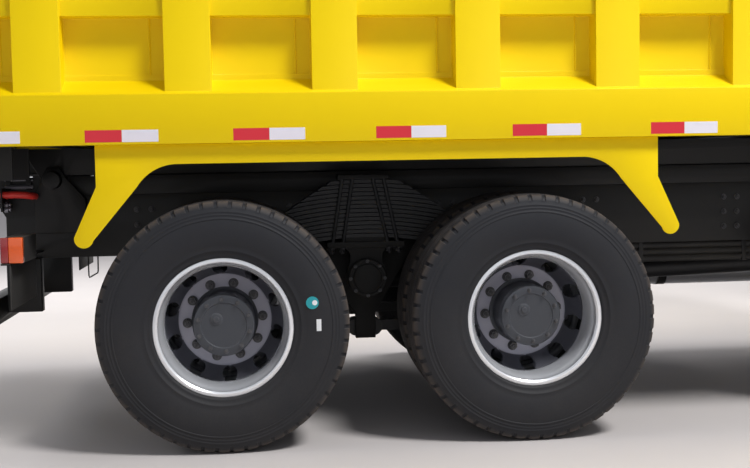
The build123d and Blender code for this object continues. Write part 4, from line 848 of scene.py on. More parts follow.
def rearSprings():
    leaves, r = springLook["halfLengths"], springLook["bolt"]
    top = springLook["bottom"] + len(leaves) * (springLook["thickness"] + springLook["gap"]) - springLook["gap"]
    seat = springLook["bottom"] - springLook["seatDrop"]
    placed = [(leafMesh(number, half), 0) for number, half in enumerate(leaves)]
    placed += [
        (saddleMesh(seat), 1), (springBlock(-0.110, 0.110, seat, seat + 0.052, bevel=0.003), 1),
        (springBlock(-0.190, 0.185, seat, seat + 0.03, 0.02), 1),
        (springBlock(-0.135, 0.112, top, top + 0.024, 0.02), 1),
    ]
    nut = nutMesh(*springLook["nut"])
    near, far = springLook["inner"] - 0.001 - r, springLook["outer"] + 0.001 + r
    for high, low in springLook["bolts"]:
        x, foot = bogieX + high, bogieX + low
        path = [(foot, near, seat - 0.004), (x, near, top - 0.01), (x, near, top + 0.0145),
                (x, near + 0.02, top + 0.0148), (x, far - 0.02, top + 0.0148), (x, far, top + 0.0145),
                (x, far, top - 0.01), (foot, far, seat - 0.004)]
        placed.append((tube(path, r), 0))
        placed += [(nut, 2, at(foot, y, seat + 0.001) @ turned(90, "X")) for y in (near, far)]
    left = joined("leftSpring", placed)
    right = left.copy()
    right.transform(Matrix.Diagonal((1, -1, 1, 1)))
    right.flip_normals()
    fitted("rearSprings", "rear_leaf_springs", [(left, None), (right, None)],
           [springSteel, castIron, boltSteel], replaces=True)


def trunnionCaps():
    # ringed cover with its bolts over each end of the trunnion shaft
    ring = lathe(backwards([(0.02, 0), (0.092, 0), (0.092, 0.006), (0.088, 0.009), (0.078, 0.009),
                            (0.075, 0.003), (0.070, 0.003), (0.067, 0.011), (0.060, 0.014), (0.02, 0.014)]), 72)
    middle = lathe([(0, -0.0005), (0.021, -0.0005), (0.021, -0.013), (0, -0.013)], 48)
    bolts = ringOf(nutMesh(*springLook["capBolt"]), springLook["capBolts"], springLook["capBoltCircle"], 0,
                   springLook["capBoltsOut"])
    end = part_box("bogie_trunnion")[1].y - 0.0005
    for side, word in sides:
        place = at(bogieX, side * end, springLook["trunnionZ"]) @ facing(side)
        placed = [(ring, 0, place), (middle, 0, place), (bolts, 1, place)]
        fitted("trunnionCap_" + word, "bogie_trunnion", placed, [castIron, boltSteel], angle=34)


rearSprings()
trunnionCaps()
print("springs laid")


# Rear end: tail lamps, air lines on the rail with their clips, pipes under it, outriggers under the bed

tailLook = {"inner": 0.880, "end": 1.150, "redDepth": 0.032, "cell": 0.09, "seam": 0.0005}
rearLook = {
    "pipes": ((1.145, 0.012), (1.176, 0.004)), "pipeY": -0.450, "pipeEnds": (-3.600, -3.470),
    "clips": (-3.585, -3.490), "clipHalf": 0.012, "clipY": (-0.4585, -0.4295), "clipZ": (1.128, 1.184),
    "bracket": ((-3.604, -0.545, 1.030), (-3.596, -0.4295, 1.140)), "unions": (1.040, 1.062), "unionY": -0.500,
    "endPlate": ((-3.640, 1.060), (-3.604, 1.000), (-3.438, 1.000), (-3.438, 1.189), (-3.640, 1.189)),
    "endPlateY": (0.4302, 0.4372), "hoseRadius": 0.017, "stirrupRadius": 0.0035,
    "hose": ((-3.610, -0.520, 1.110), (-3.585, -0.520, 1.108), (-3.540, -0.518, 1.110), (-3.510, -0.514, 1.108),
             (-3.480, -0.505, 1.104), (-3.460, -0.480, 1.100), (-3.458, -0.432, 1.098)),
    "stirrup": ((-3.226, -0.424, 0.803), (-3.226, -0.424, 0.697), (-3.181, -0.424, 0.722),
                (-3.180, -0.424, 0.803)),
}
loomLook = {"rear": -0.700, "front": 1.500, "radius": 0.018, "y": -0.375, "heights": (0.782, 0.748, 0.714),
            "straps": (-0.45, 0.10, 0.65, 1.20), "strapHalf": 0.012, "strapOver": 0.002}
outriggerLook = {"places": (0.62, 0.98), "thickness": 0.012, "sill": 1.324, "front": -3.450, "foot": 1.181,
                 "shoeFront": -3.600, "shoeLow": 1.194}


def tailLamps():
    # a dark case with three lenses, and a two-colour lamp at its outer end
    low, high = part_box("tail_lamps")
    inner, end, seam = tailLook["inner"], tailLook["end"], tailLook["seam"]
    split = low.x + tailLook["redDepth"]
    placed = []
    for side in (1, -1):
        placed += [
            (sideBox(side, (low.x + 0.010, inner, low.z), (high.x, end, high.z), 0.004), 2),
            (sideBox(side, (low.x, end + seam, low.z), (split, high.y, high.z), 0.005, 3), 0),
            (sideBox(side, (split + seam, end + seam, low.z), (high.x, high.y, high.z), 0.005, 3), 1),
        ]
        for number, lens in enumerate((3, 0, 1)):
            start = inner + tailLook["cell"] * number
            placed.append((sideBox(side, (low.x, start + 0.0015, low.z + 0.004),
                                   (low.x + 0.012, start + 0.0885, high.z - 0.004), 0.004, 3), lens))
    fitted("tailLamps", "tail_lamps", placed, [lampRed, lampAmber, darkPlastic, lampBowl], replaces=True)


def airLines():
    # two pipes on clips, the rails' end plates, a bracket with two unions, a red hose and a wire loop
    look, y, half = rearLook, rearLook["pipeY"], rearLook["clipHalf"]
    placed = [(tube([(x, y, z) for x in look["pipeEnds"]], radius), 0) for z, radius in look["pipes"]]
    (near, far), (low, high) = look["clipY"], look["clipZ"]
    placed += [(boxMesh((x - half, near, low), (x + half, far, high), 0.002), 1) for x in look["clips"]]
    placed += [(prism(look["endPlate"], *sorted(side * depth for depth in look["endPlateY"])), 1)
               for side in (1, -1)]
    placed.append((boxMesh(*look["bracket"], 0.002), 1))
    union = lathe([(0, 0), (0.013, 0), (0.015, 0.004), (0.015, 0.018), (0.010, 0.022), (0.010, 0.030),
                   (0, 0.030)], 24)
    face = look["bracket"][1][0]
    placed += [(union, 0, at(face, look["unionY"], z) @ turned(-90, "Z")) for z in look["unions"]]
    fitted("rearAirLines", "frame_rails", placed, [fittingMetal, framePaint])
    hose = tube(look["hose"], look["hoseRadius"], fineness=4, order=3)
    fitted("redAirHose", "frame_rails", [(hose, 0)], [hoseRed], angle=60)
    stirrup = tube(look["stirrup"], look["stirrupRadius"], fineness=2)
    fitted("lineStirrup", "frame_rails", [(stirrup, 0)], [framePaint], angle=60)


def railLoom():
    # covered bundles of pipes strapped under the right rail's flange
    r, y, heights = loomLook["radius"], loomLook["y"], loomLook["heights"]
    placed = [(tube([(loomLook["rear"], y, z), (loomLook["front"], y, z)], r, 4), 0) for z in heights]
    half, over = loomLook["strapHalf"], loomLook["strapOver"]
    placed += [(boxMesh((x - half, y - r - over, min(heights) - r - over),
                        (x + half, y + r + over, max(heights) + r), 0.002), 1) for x in loomLook["straps"]]
    fitted("railLoom", "frame_rails", placed, [rubberFinish, framePaint])


def outriggers():
    # gussets under the bed's rear corners, each on a shoe; their near-black paint is painted shade that closes
    # the view under the bed
    look, rear = outriggerLook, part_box("bed_floor")[0].x
    shape = [(rear + 0.03, look["sill"]), (look["front"], look["sill"]), (look["front"], look["foot"]),
             (look["shoeFront"], look["foot"]), (rear + 0.16, look["shoeLow"]), (rear + 0.03, 1.290)]
    placed = []
    for side in (1, -1):
        for y in look["places"]:
            placed += [(prism(shape, *sorted((side * y, side * (y + look["thickness"])))), 0),
                       (sideBox(side, (rear + 0.16, y - 0.030, look["shoeLow"]),
                                (look["shoeFront"], y + 0.042, look["shoeLow"] + 0.010), 0.002), 0)]
    fitted("bedOutriggersShade", "bed_floor", placed, [framePaint])


tailLamps()
airLines()
railLoom()
outriggers()
print("rear end dressed")


# Bare stickers on the rear right tyre's wall, and reflective tapes along the bed's lower rails

stickerLook = {"wall": -1.2362, "disc": (-2.181, 0.642), "dot": (-2.171, 0.642), "label": (-2.155, 0.546)}
tapeLook = {
    "size": (0.300, 0.050), "thickness": 0.0008, "bottom": 1.334, "seam": 0.0005,
    "rears": (-3.662, -3.103, -2.496, -1.897, -1.310, -0.700, -0.100, 0.500, 1.100),
}


def tyreStickers():
    wall = stickerLook["wall"]
    (discX, discZ), (dotX, dotZ), (labelX, labelZ) = (stickerLook[key] for key in ("disc", "dot", "label"))
    fitted("tyreStickers", "rear_wheels_right", [
        (lathe([(0, 0), (0.027, 0), (0.027, -0.0008), (0, -0.0008)], 40), 0, at(discX, wall, discZ)),
        (lathe([(0, -0.0008), (0.011, -0.0008), (0.011, -0.0012), (0, -0.0012)], 40), 1, at(dotX, wall, dotZ)),
        (boxMesh((-0.010, -0.0012, -0.025), (0.010, 0, 0.025)), 1, at(labelX, wall - 0.0005, labelZ)),
    ], [stickerTeal, stickerWhite])


def tapes(side, word):
    rail, bottom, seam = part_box("bed_side_left")[1].y, tapeLook["bottom"], tapeLook["seam"]
    half, height = tapeLook["size"][0] / 2, tapeLook["size"][1]
    placed = []
    for rear in tapeLook["rears"]:
        for number in (0, 1):
            placed.append((sideBox(side, (rear + half * number + seam, rail, bottom),
                                   (rear + half * (number + 1) - seam, rail + tapeLook["thickness"],
                                    bottom + height)), number))
    fitted("reflectiveTapes_" + word, "bed_side_left", placed, [tapeRed, tapeWhite])


tyreStickers()
for side, word in sides:
    tapes(side, word)
print("tapes laid")


# Outlines with rounded corners, and bands and panels that follow a face

def pulled(corners, distance):
    # a polygon's edges moved outwards by a distance
    area = sum(a[0] * b[1] - b[0] * a[1] for a, b in zip(corners, corners[1:] + corners[:1]))
    sign = 1 if area > 0 else -1
    lines = []
    for a, b in zip(corners, corners[1:] + corners[:1]):
        run = Vector((b[0] - a[0], b[1] - a[1])).normalized()
        lines.append((Vector(a) + Vector((run.y, -run.x)) * sign * distance, run))
    moved = []
    for (p, r), (q, t) in zip([lines[-1]] + lines[:-1], lines):
        share = ((q.x - p.x) * t.y - (q.y - p.y) * t.x) / (r.x * t.y - r.y * t.x)
        moved.append(tuple(p + r * share))
    return moved


def cornered(corners, radius, steps=5):
    # the outline with each corner rounded
    points = []
    for k in range(len(corners)):
        here = Vector(corners[k])
        before = (Vector(corners[k - 1]) - here).normalized() * radius
        after = (Vector(corners[(k + 1) % len(corners)]) - here).normalized() * radius
        for step in range(steps + 1):
            t = step / steps
            points.append(tuple(here + before * (1 - t) ** 2 + after * t ** 2))
    return points


def rectangle(left, bottom, right, top, inset=0.0):
    return [(left + inset, bottom + inset), (right - inset, bottom + inset), (right - inset, top - inset),
            (left + inset, top - inset)]


def band(corners, radius, width, low, high, place):
    # a flat ring outside an outline, between two depths on a face
    inner = cornered(corners, radius)
    outer = cornered(pulled(corners, width), radius + width)
    bm = bmesh.new()
    rows = [[bm.verts.new(place(pair, depth)) for pair in line]
            for line, depth in ((inner, low), (outer, low), (outer, high), (inner, high))]
    for k in range(len(inner)):
        n = (k + 1) % len(inner)
        for row, after in zip(rows, rows[1:] + rows[:1]):
            bm.faces.new((row[k], row[n], after[n], after[k]))
    return closed("band", bm)


def panel(corners, radius, low, high, place):
    return prism(cornered(corners, radius), low, high, place)


def onFace(x, ahead=1):
    # the place rule of an upright face across the lorry; depth counts forwards, or backwards
    def place(pair, depth):
        return (x + ahead * depth, *pair)
    return place


# Cab: seals round the glass, wipers, roof lamps, grille's dark back, door handles, mirrors, headlamps

cabLook = {
    "front": 4.05625, "back": 2.15625, "half": 1.230, "waist": 1.900, "leanIn": 0.110 / 1.120,
    "screenLow": 1.950, "screenLean": 0.140 / 0.910,
    "screen": rectangle(-1.06, 2.0093, 1.06, 2.8007), "screenCorner": 0.050,
    "rear": rectangle(-0.5, 2.0, 0.5, 2.5),
    "window": [(3.80625, 1.900), (3.70125, 2.680), (3.03625, 2.680), (3.03625, 1.900)], "corner": 0.045,
    "wipers": (-0.62, 0.28), "wiperZ": 1.972, "roofLamps": (-0.55, 0.0, 0.55), "roofLampHalf": 0.05,
    "roofLampZ": (2.905, 2.930), "roofLampBack": 0.165, "grilleBack": (0.849, 1.121, 1.599),
    "handle": ((3.040, -0.008, -0.014), (3.200, 0.010, 0.014)), "handleZ": 1.620, "lockX": 3.235,
    "handleRecess": rectangle(3.030, 1.580, 3.210, 1.660),
    "mirrorGlass": (1.305, 1.455), "mirrorHeights": ((2.205, 2.480), (2.080, 2.185)), "mirrorBack": 0.065,
}
headlampLook = {"inner": 0.7105, "outer": 0.9595, "bowls": (-0.05775, 0.05775), "turnLamp": (1.00, 1.06),
                "turnInset": 0.03, "slopeFrom": 0.97, "slope": 0.46}


def onScreen(pair, depth):
    lean = (pair[1] - cabLook["screenLow"]) * cabLook["screenLean"]
    return (cabLook["front"] - lean + depth, *pair)


def onSide(side):
    def place(pair, depth):
        lean = max(0.0, pair[1] - cabLook["waist"]) * cabLook["leanIn"]
        return (pair[0], side * (cabLook["half"] - lean + depth), pair[1])
    return place


def cabTrim():
    front, z = cabLook["front"], cabLook["wiperZ"]
    placed = [
        (band(cabLook["screen"], cabLook["screenCorner"], 0.022, -0.010, 0.0025, onScreen), 0),
        (band(cabLook["rear"], cabLook["corner"], 0.018, -0.010, 0.0030, onFace(cabLook["back"], -1)), 0),
    ]
    pivot = lathe([(0, 0), (0.020, 0), (0.020, 0.018), (0.014, 0.026), (0, 0.026)], 24, axis="x")
    for y in cabLook["wipers"]:
        arm = [(front + 0.018, y, z), (front + 0.014, y + 0.10, 2.02), (front - 0.010, y + 0.34, 2.20)]
        blade = [onScreen((y + 0.05, 2.045), 0.010), onScreen((y + 0.63, 2.355), 0.010)]
        placed += [(pivot, 1, at(front - 0.004, y, z)), (tube(arm, 0.006, 2), 1), (tube(blade, 0.005, 2), 0)]
    (low, high), half = cabLook["roofLampZ"], cabLook["roofLampHalf"]
    roof = onFace(front - cabLook["roofLampBack"])
    placed += [(panel(rectangle(y - half, low, y + half, high), 0.010, -0.03, 0.028, roof), 2)
               for y in cabLook["roofLamps"]]
    fitted("cabTrim", "cab_shell", placed, [rubberFinish, darkPlastic, lampAmber])
    wide, low, high = cabLook["grilleBack"]
    back = boxMesh((front + 0.0006, -wide, low), (front + 0.004, wide, high))
    fitted("grilleBack", "grille", [(back, 0)], [framePaint])


def doorTrim(side, word):
    place, half, z = onSide(side), cabLook["half"], cabLook["handleZ"]
    lock = at(cabLook["lockX"], side * (half - 0.001), z) @ facing(-side)
    fitted("doorTrim_" + word, "door_" + word, [
        (band(cabLook["window"], cabLook["corner"], 0.020, -0.008, 0.003, place), 0),
        (panel(cabLook["handleRecess"], 0.020, -0.001, 0.0015, place), 1),
        (boxMesh(*cabLook["handle"], 0.006, 3), 1, at(0, side * (half + 0.002), z)),
        (lathe([(0, 0), (0.011, 0), (0.011, 0.003), (0, 0.003)], 24), 2, lock),
    ], [rubberFinish, darkPlastic, fittingMetal])


def mirrorFaces():
    face = onFace(cabLook["front"] - cabLook["mirrorBack"], -1)
    placed = []
    for side in (1, -1):
        a, b = sorted(side * edge for edge in cabLook["mirrorGlass"])
        placed += [(panel(rectangle(a, low, b, high), 0.018, -0.001, 0.0015, face), 0)
                   for low, high in cabLook["mirrorHeights"]]
    fitted("mirrorFaces", "mirrors", placed, [mirrorFace])


def headlampPairs():
    # bright bowls behind a clear lens, an amber turn lamp beside them
    low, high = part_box("headlamps")
    look, face, z = headlampLook, onFace(high.x), (low.z + high.z) / 2

    def slope(pair, depth):
        return face(pair, 0.004 - max(0.0, abs(pair[0]) - look["slopeFrom"]) * look["slope"] + depth)

    bowl = lathe([(0.0, -0.040), (0.030, -0.037), (0.052, -0.026), (0.066, -0.006), (0.070, -0.006),
                  (0.056, -0.030), (0.032, -0.042), (0.0, -0.045)], 48, axis="x")
    bulb = lathe([(0.0, -0.036), (0.008, -0.034), (0.010, -0.020), (0.006, -0.012), (0.0, -0.010)], 20,
                 axis="x")
    placed, lenses = [], []
    for side in (1, -1):
        a, b = sorted((side * look["inner"], side * look["outer"]))
        placed += [
            (boxMesh((low.x, a, low.z), (low.x + 0.004, b, high.z), 0.001), 1),
            (band(rectangle(a, low.z, b, high.z, 0.012), 0.010, 0.010, -0.050, -0.001, face), 1),
        ]
        for shift in look["bowls"]:
            place = at(high.x - 0.008, (a + b) / 2 + shift, z)
            placed += [(bowl, 0, place @ Matrix.Diagonal((1, 0.75, 0.95, 1))), (bulb, 2, place)]
        lenses.append((panel(rectangle(a, low.z, b, high.z, 0.006), 0.012, -0.004, 0.0, face), 0))
        near, far = (side * edge for edge in look["turnLamp"])
        turnLamp = rectangle(near, low.z + look["turnInset"], far, high.z - look["turnInset"])
        lenses.append((panel(turnLamp, 0.010, -0.006, 0.004, slope), 1))
    fitted("headlampBowls", "headlamps", placed, [lampBowl, darkPlastic, lampClear], replaces=True)
    fitted("headlampLenses", "headlamps", lenses, [lampClear, lampAmber])


cabTrim()
for side, word in sides:
    doorTrim(side, word)
mirrorFaces()
headlampPairs()
print("cab dressed")


# Inside the cab: dashboard and steering wheel, padded seats

insideLook = {
    "floor": 1.330, "inner": 4.01125, "wheelTilt": -28.0, "wheelRadius": 0.225, "rimRadius": 0.0145,
    "dashHalf": 1.10, "hoodY": (0.40, 0.84), "dials": (0.54, 0.70), "dialTurn": 22,
    "vents": (-0.90, -0.40, 0.14, 0.98), "ventTurn": 7, "slats": 6, "slatStep": 0.011, "spokes": (0, 120, 240),
}
seatLook = {
    "y": 0.620, "padCap": 0.012, "voxel": 0.008, "pressure": 4.0, "rounds": 20, "fill": 0.7,
    "cushion": ((-1.425, -0.235, 0.275), (-0.935, 0.235, 0.388), 0.045, 4),
    "back": ((-1.428, 0.405), (-1.335, 0.405), (-1.450, 1.045), (-1.526, 1.045)), "backHalf": 0.226,
    "foot": (((-1.40, -0.19, 0), (-1.00, 0.19, 0.10), 0.012, 2),
             ((-1.35, -0.14, 0.09), (-1.05, 0.14, 0.22), 0.030, 3),
             ((-1.43, -0.235, 0.21), (-0.95, 0.235, 0.262), 0.018, 3)),
}


def dashboard():
    inner, waist, floor = insideLook["inner"], cabLook["waist"], insideLook["floor"]
    shape = [(inner, floor), (inner, waist), (inner - 0.26, waist), (inner - 0.33, waist - 0.02),
             (inner - 0.39, waist - 0.07), (inner - 0.42, waist - 0.12), (inner - 0.40, waist - 0.28),
             (inner - 0.36, waist - 0.315), (inner - 0.18, waist - 0.34), (inner - 0.12, floor)]
    hood = [(inner - 0.05, waist - 0.01), (inner - 0.08, waist + 0.045), (inner - 0.20, waist + 0.060),
            (inner - 0.32, waist + 0.040), (inner - 0.34, waist - 0.03), (inner - 0.30, waist - 0.03)]
    wide = insideLook["dashHalf"]
    placed = [(prism(shape, -wide, wide, bevel=0.012), 0), (prism(hood, *insideLook["hoodY"], bevel=0.010), 0)]
    dial = lathe([(0, 0), (0.048, 0), (0.048, 0.004), (0.042, 0.004), (0.040, 0.001), (0, 0.001)], 40, axis="x")
    lean = turned(insideLook["dialTurn"], "Y") @ turned(180, "Z")
    placed += [(dial, 1, at(inner - 0.353, y, waist - 0.03) @ lean) for y in insideLook["dials"]]
    slat = boxMesh((-0.004, -0.07, -0.003), (0.010, 0.07, 0.003), 0.001, 1)
    vent = repeated(slat, rowsOfCopies, Count=insideLook["slats"], Step=(0, 0, insideLook["slatStep"]),
                    Finish=darkPlastic)
    lean = turned(insideLook["ventTurn"], "Y")
    placed += [(vent, 1, at(inner - 0.425, y, waist - 0.20) @ lean) for y in insideLook["vents"]]
    tilt = at(inner - 0.52, seatLook["y"], waist) @ turned(insideLook["wheelTilt"], "Y")
    wheel, rim = insideLook["wheelRadius"], insideLook["rimRadius"]
    ring = [(wheel + rim * math.cos(k * math.pi / 5), rim * math.sin(k * math.pi / 5)) for k in range(10)]
    boss = [(0, -0.02), (0.060, -0.016), (0.066, -0.004), (0.055, 0.010), (0, 0.014)]
    placed += [(lathe(ring, 64, axis="z"), 1, tilt), (lathe(boss, 40, axis="z"), 1, tilt)]
    spoke = boxMesh((0.05, -0.014, -0.006), (0.218, 0.014, 0.004), 0.003)
    placed += [(spoke, 1, tilt @ turned(angle, "Z")) for angle in insideLook["spokes"]]
    column = [(0, -0.385), (0.028, -0.385), (0.028, -0.10), (0.034, -0.08), (0.034, -0.018), (0, -0.018)]
    placed.append((lathe(column, 32, axis="z"), 1, tilt))
    fitted("dashboardTrim", "dashboard", placed, [darkPlastic, rubberFinish], replaces=True)


def padMesh(mesh):
    # a seat pad swollen by simulated cloth, its points held to a small movement
    piece = newPiece("scratch", mesh)
    grid = piece.modifiers.new("grid", "REMESH")
    grid.mode = "VOXEL"
    grid.voxel_size = seatLook["voxel"]
    even = settled(piece)
    rest = [vertex.co.copy() for vertex in even.vertices]
    piece = newPiece("scratch", even)
    cloth = piece.modifiers.new("cloth", "CLOTH")
    cloth.settings.use_pressure = True
    cloth.settings.uniform_pressure_force = seatLook["pressure"]
    cloth.settings.effector_weights.gravity = 0.0
    cloth.point_cache.frame_start = 1
    cloth.point_cache.frame_end = seatLook["rounds"]
    scene = bpy.context.scene
    for step in range(1, seatLook["rounds"] + 1):
        scene.frame_set(step)
    pad = settled(piece)
    scene.frame_set(1)
    for vertex, start in zip(pad.vertices, rest):
        move = vertex.co - start
        if move.length > seatLook["padCap"]:
            vertex.co = start + move.normalized() * seatLook["padCap"]
    return pad


def seatBlock(low, high, *rounding):
    # a block whose place counts from the cab's front and floor
    corners = [(cabLook["front"] + x, y, insideLook["floor"] + z) for x, y, z in (low, high)]
    return boxMesh(*corners, *rounding)


def seats():
    floor, front = insideLook["floor"], cabLook["front"]
    outline, half = [(front + x, floor + z) for x, z in seatLook["back"]], seatLook["backHalf"]
    pads = {"Cushion": padMesh(seatBlock(*seatLook["cushion"])),
            "Back": padMesh(prism(outline, -half, half, bevel=0.035, segments=4))}
    foot = [seatBlock(*block) for block in seatLook["foot"]]
    feet = []
    for side, word in sides:
        place = at(0, side * seatLook["y"], 0)
        feet += [(mesh, 0, place) for mesh in foot]
        for label, mesh in pads.items():
            piece = fitted(f"seat{label}_{word}", "seats", [(mesh, 0, place)], [seatFabric],
                           angle=60)
    fitted("seatBases", "seats", feet, [darkPlastic], replaces=True)


dashboard()
seats()
print("cab furnished")


# Tanks, rail bolts, weld beads and step treads

tankLook = {"inner": 0.490, "corner": 0.090, "straps": (0.16, 0.84), "capBack": 0.25}
airTankLook = {"radius": 0.120, "rows": (-0.590, -0.850), "z": 0.760, "straps": (0.3, 0.7), "hanger": 0.34,
               "hangerSize": (0.080, (-0.910, -0.430), (0.878, 0.920))}
boltLook = {"group": (2, 3), "groupStep": (0.07, 0.075), "groups": 9, "step": 0.74, "start": 0.62, "z": 0.875,
            "head": (0.022, 0.011, 0.015, 0.006)}
beadLook = {"ribs": 10, "step": 0.613, "edges": (0.0, 0.193), "y": 1.1245,
            "runs": ((1.60, 0.32), (2.012, 0.798))}   # foot, and share of the bead's length
treadLook = {"rear": 3.361, "front": 3.671, "columns": 12, "rows": 7, "rowStep": 0.022,
             "heights": (0.460, 0.650, 0.830), "y": (1.060, -1.192)}


def fuelTankTrim():
    low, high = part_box("fuel_tank")
    y = tankLook["inner"]
    square = rectangle(y, low.z, high.y, high.z)
    placed = []
    for share in tankLook["straps"]:
        face = onFace(low.x + (high.x - low.x) * share)
        placed.append((band(square, tankLook["corner"], 0.003, -0.025, 0.025, face), 0))
    for x in (low.x, high.x):
        placed.append((band(pulled(square, -0.012), 0.078, 0.014, -0.006, 0.006, onFace(x)), 1))
    cap = lathe([(0, 0), (0.045, 0), (0.045, 0.012), (0.040, 0.016), (0.040, 0.034), (0.034, 0.038),
                 (0, 0.038)], 36, axis="z")
    placed.append((cap, 2, at(high.x - tankLook["capBack"], (y + high.y) / 2, high.z - 0.002)))
    fitted("fuelTankTrim", "fuel_tank", placed, [framePaint, tankMetal, darkPlastic])


def airTanks():
    low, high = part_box("air_tanks")
    length, r = high.x - low.x, airTankLook["radius"]
    end = [(0, 0.004), (0.05, 0.006), (0.09, 0.018), (0.112, 0.040), (r - 0.0005, 0.070), (r - 0.0005, 0.072),
           (r, 0.073)]
    tank = lathe(end + [(radius, length - x) for radius, x in reversed(end)], 64, axis="x")
    strap = lathe([(r, -0.02), (r + 0.003, -0.02), (r + 0.003, 0.02), (r, 0.02)], 64, axis="x")
    placed = []
    for y in airTankLook["rows"]:
        placed.append((tank, 0, at(low.x, y, airTankLook["z"])))
        placed += [(strap, 1, at(low.x + length * share, y, airTankLook["z"]))
                   for share in airTankLook["straps"]]
    x, (wide, (near, far), (foot, top)) = low.x + airTankLook["hanger"], airTankLook["hangerSize"]
    placed.append((boxMesh((x, near, foot), (x + wide, far, top), 0.004), 1))
    fitted("airTanks", "air_tanks", placed, [framePaint, castIron], replaces=True)


def railBolts():
    # bolt heads in groups along the rails' outer faces
    low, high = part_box("frame_rails")
    (columns, rows), (across, up) = boltLook["group"], boltLook["groupStep"]
    group = repeated(nutMesh(*boltLook["head"]), rowsOfCopies, Count=columns, Step=(across, 0, 0), Rows=rows,
                     RowStep=(0, 0, up), Finish=boltSteel)
    line = repeated(group, rowsOfCopies, Count=boltLook["groups"], Step=(boltLook["step"], 0, 0),
                    Finish=boltSteel)
    start = low.x + boltLook["start"]
    reach = across + boltLook["step"] * (boltLook["groups"] - 1)
    placed = [(line, 0, at(start + (reach if side > 0 else 0), side * (high.y - 0.0003), boltLook["z"])
               @ facing(side)) for side in (1, -1)]
    fitted("railBolts", "frame_rails", placed, [boltSteel])


def weldBeads(side, word):
    # fillet welds where the ribs meet the panel
    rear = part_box("bed_side_right")[0].x
    bead = lathe([(0, 0), (0.004, 0.0005), (0.004, 0.785), (0, 0.786)], 6, axis="z")
    line = repeated(bead, rowsOfCopies, Count=beadLook["ribs"], Step=(beadLook["step"], 0, 0), Finish=bedPaint)
    placed = [(line, 0, at(rear + shift, side * beadLook["y"], z) @ Matrix.Diagonal((1, 1, stretch, 1)))
              for z, stretch in beadLook["runs"] for shift in beadLook["edges"]]
    fitted("weldBeads_" + word, "bed_side_right", placed, [bedPaint], angle=60)


def stepTreads():
    rear, columns = treadLook["rear"], treadLook["columns"]
    stud = lathe([(0, 0), (0.005, 0), (0.003, 0.003), (0, 0.003)], 8, axis="z")
    grid = repeated(stud, rowsOfCopies, Count=columns, Step=((treadLook["front"] - rear) / columns, 0, 0),
                    Rows=treadLook["rows"], RowStep=(0, treadLook["rowStep"], 0), Finish=boltSteel)
    placed = [(grid, 0, at(rear + 0.01, y, z - 0.0003)) for y in treadLook["y"] for z in treadLook["heights"]]
    fitted("stepTreads", "cab_steps", placed, [boltSteel])


fuelTankTrim()
airTanks()
railBolts()
for side, word in sides:
    weldBeads(side, word)
stepTreads()
print("small parts laid")


# Edges rounded on the bed, cab and frame pieces

softened = {
    "bed_side_left": 0.006, "bed_side_right": 0.006, "bed_floor": 0.004, "bed_front_wall": 0.005,
    "bed_wheel_skirts": 0.002, "tailgate": 0.006, "cab_shell": 0.012, "door_left": 0.004, "door_right": 0.004,
    "front_bumper": 0.012, "cab_steps": 0.006, "battery_box": 0.012, "engine_block": 0.02,
    "mirrors": 0.008, "grille": 0.003, "bogie_trunnion": 0.006, "frame_rails": 0.003,
    "bed_subframe": 0.004, "front_axle_beam": 0.008, "rear_guard": 0.005, "mud_flaps": 0.002,
    "tipping_hinge": 0.003, "frame_crossmembers": 0.003, "cab_mounts": 0.004, "ram_foot_bracket": 0.005,
}
softLook = {"weld": 0.00005, "flat": 0.02, "segments": 2, "leastAngle": 25}
shadePaintedBelow = 1.431   # below this height the bed floor's yellow gives way to the frame's near-black, painted shade under the bed


def soften(node, radius):
    # a copy of a CAD piece, welded, its flat faces made whole and its edges rounded, stands for it
    bm = bmesh.new()
    bm.from_mesh(cadNodes[node].data)
    bmesh.ops.remove_doubles(bm, verts=bm.verts, dist=softLook["weld"])
    bmesh.ops.dissolve_limit(bm, angle_limit=softLook["flat"], verts=bm.verts, edges=bm.edges)
    piece = newPiece("scratch", meshOf("scratch", bm))
    bevel = piece.modifiers.new("bevel", "BEVEL")
    bevel.width = radius
    bevel.segments = softLook["segments"]
    bevel.limit_method = "ANGLE"
    bevel.angle_limit = math.radians(softLook["leastAngle"])
    fitted(node + "Soft", node, [(settled(piece), 0)], [slotFinish[slotOf[node]]], angle=40, replaces=True)


for node, radius in softened.items():
    soften(node, radius)
# the bed floor's faces below that height take the frame's near-black as painted shade
underside = bpy.data.objects["bed_floorSoft"].data
underside.materials.append(framePaint)
for face in underside.polygons:
    if face.center.z < shadePaintedBelow:
        face.material_index = 1
print("edges rounded:", len(softened))


# Floor, light and camera

stageLook = {"floor": (206, 200, 198), "floorTint": (196, 190, 188), "sky": (226, 228, 232),
             "fill": (236, 240, 250), "fillStrength": 0.36, "size": 120.0}
lampLook = {
    "key": {"place": (2.5, -5.5, 9.0), "aim": (-1.5, -1.2, 1.0), "size": 2.5, "power": 960},
    "top": {"place": (-1.0, 1.5, 8.0), "aim": (-1.0, 0.0, 0.0), "size": 7.0, "power": 700},
    "back": {"place": (-7.0, 6.0, 5.0), "aim": (0.0, 0.0, 1.5), "size": 4.0, "power": 300},
}
cameraLook = {
    "place": (-2.39995, -5.9982, 1.2310), "yaw": 0.1028, "pitch": 0.0632, "roll": -0.0179,
    "lens": 54.144, "sensor": 36.0,
}


def paleFloor():
    bm = bmesh.new()
    bmesh.ops.create_grid(bm, x_segments=1, y_segments=1, size=stageLook["size"] / 2)
    floor = newPiece("floor", meshOf("floor", bm))
    material, tree, shader = newMaterial("paleFloor")
    patches = noiseNode(tree, 1.3, detail=6.0)
    feed(tree, shader, {"Roughness": 0.85, "Base Color": mixColor(
        tree, patches, seen(*stageLook["floor"]), seen(*stageLook["floorTint"]))})
    floor.data.materials.append(material)


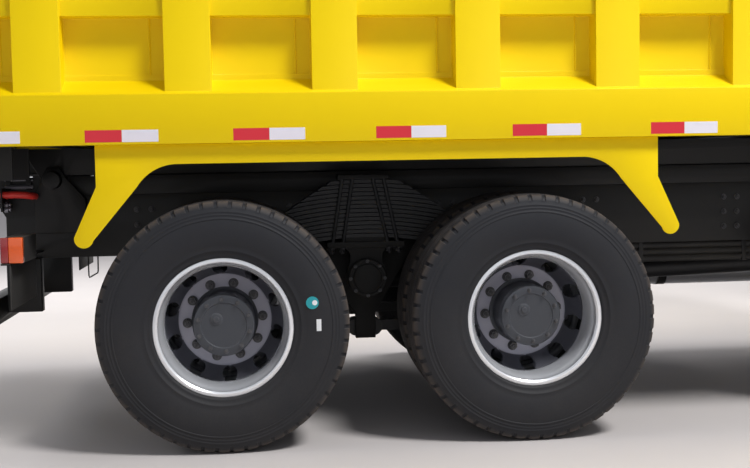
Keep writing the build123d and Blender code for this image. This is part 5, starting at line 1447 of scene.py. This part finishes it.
def softWorld():
    # a plain sky for the camera and in reflections, a soft fill for the rest
    world = bpy.data.worlds.new("studio")
    bpy.context.scene.world = world
    world.use_nodes = True
    tree = world.node_tree
    tree.nodes.clear()
    sky = addNode(tree, "ShaderNodeBackground", {"Color": seen(*stageLook["sky"])})
    fill = addNode(tree, "ShaderNodeBackground", {
        "Color": seen(*stageLook["fill"]), "Strength": stageLook["fillStrength"]})
    ray = addNode(tree, "ShaderNodeLightPath").outputs
    direct = mathNode(tree, "MAXIMUM", ray["Is Camera Ray"], ray["Is Transmission Ray"])
    direct = mathNode(tree, "MAXIMUM", direct, ray["Is Glossy Ray"])
    mix = addNode(tree, "ShaderNodeMixShader", {
        0: direct, 1: fill.outputs["Background"], 2: sky.outputs["Background"]})
    addNode(tree, "ShaderNodeOutputWorld", {"Surface": mix.outputs["Shader"]})


def softLamp(name, look):
    light = bpy.data.lights.new(name, "AREA")
    light.shape = "DISK"
    light.size = look["size"]
    light.energy = look["power"]
    lamp = newPiece(name, light)
    lamp.location = look["place"]
    lamp.rotation_euler = (Vector(look["aim"]) - Vector(look["place"])).to_track_quat("-Z", "Y").to_euler()


def placeCamera():
    yaw, pitch, roll = cameraLook["yaw"], cameraLook["pitch"], cameraLook["roll"]
    right = Vector((math.cos(yaw), -math.sin(yaw), 0))
    ahead = Vector((math.sin(yaw) * math.cos(pitch), math.cos(yaw) * math.cos(pitch), -math.sin(pitch)))
    up = right.cross(ahead)
    across = right * math.cos(roll) + up * math.sin(roll)
    above = up * math.cos(roll) - right * math.sin(roll)
    lens = bpy.data.cameras.new("camera")
    lens.lens = cameraLook["lens"]
    lens.sensor_width = cameraLook["sensor"]
    lens.clip_end = 200
    camera = newPiece("camera", lens)
    camera.matrix_world = Matrix.Translation(cameraLook["place"]) @ Matrix(
        (across, above, -ahead)).transposed().to_4x4()
    bpy.context.scene.camera = camera


paleFloor()
softWorld()
for name, look in lampLook.items():
    softLamp(name, look)
placeCamera()
bpy.context.scene.view_settings.view_transform = "Standard"
print("stage set")
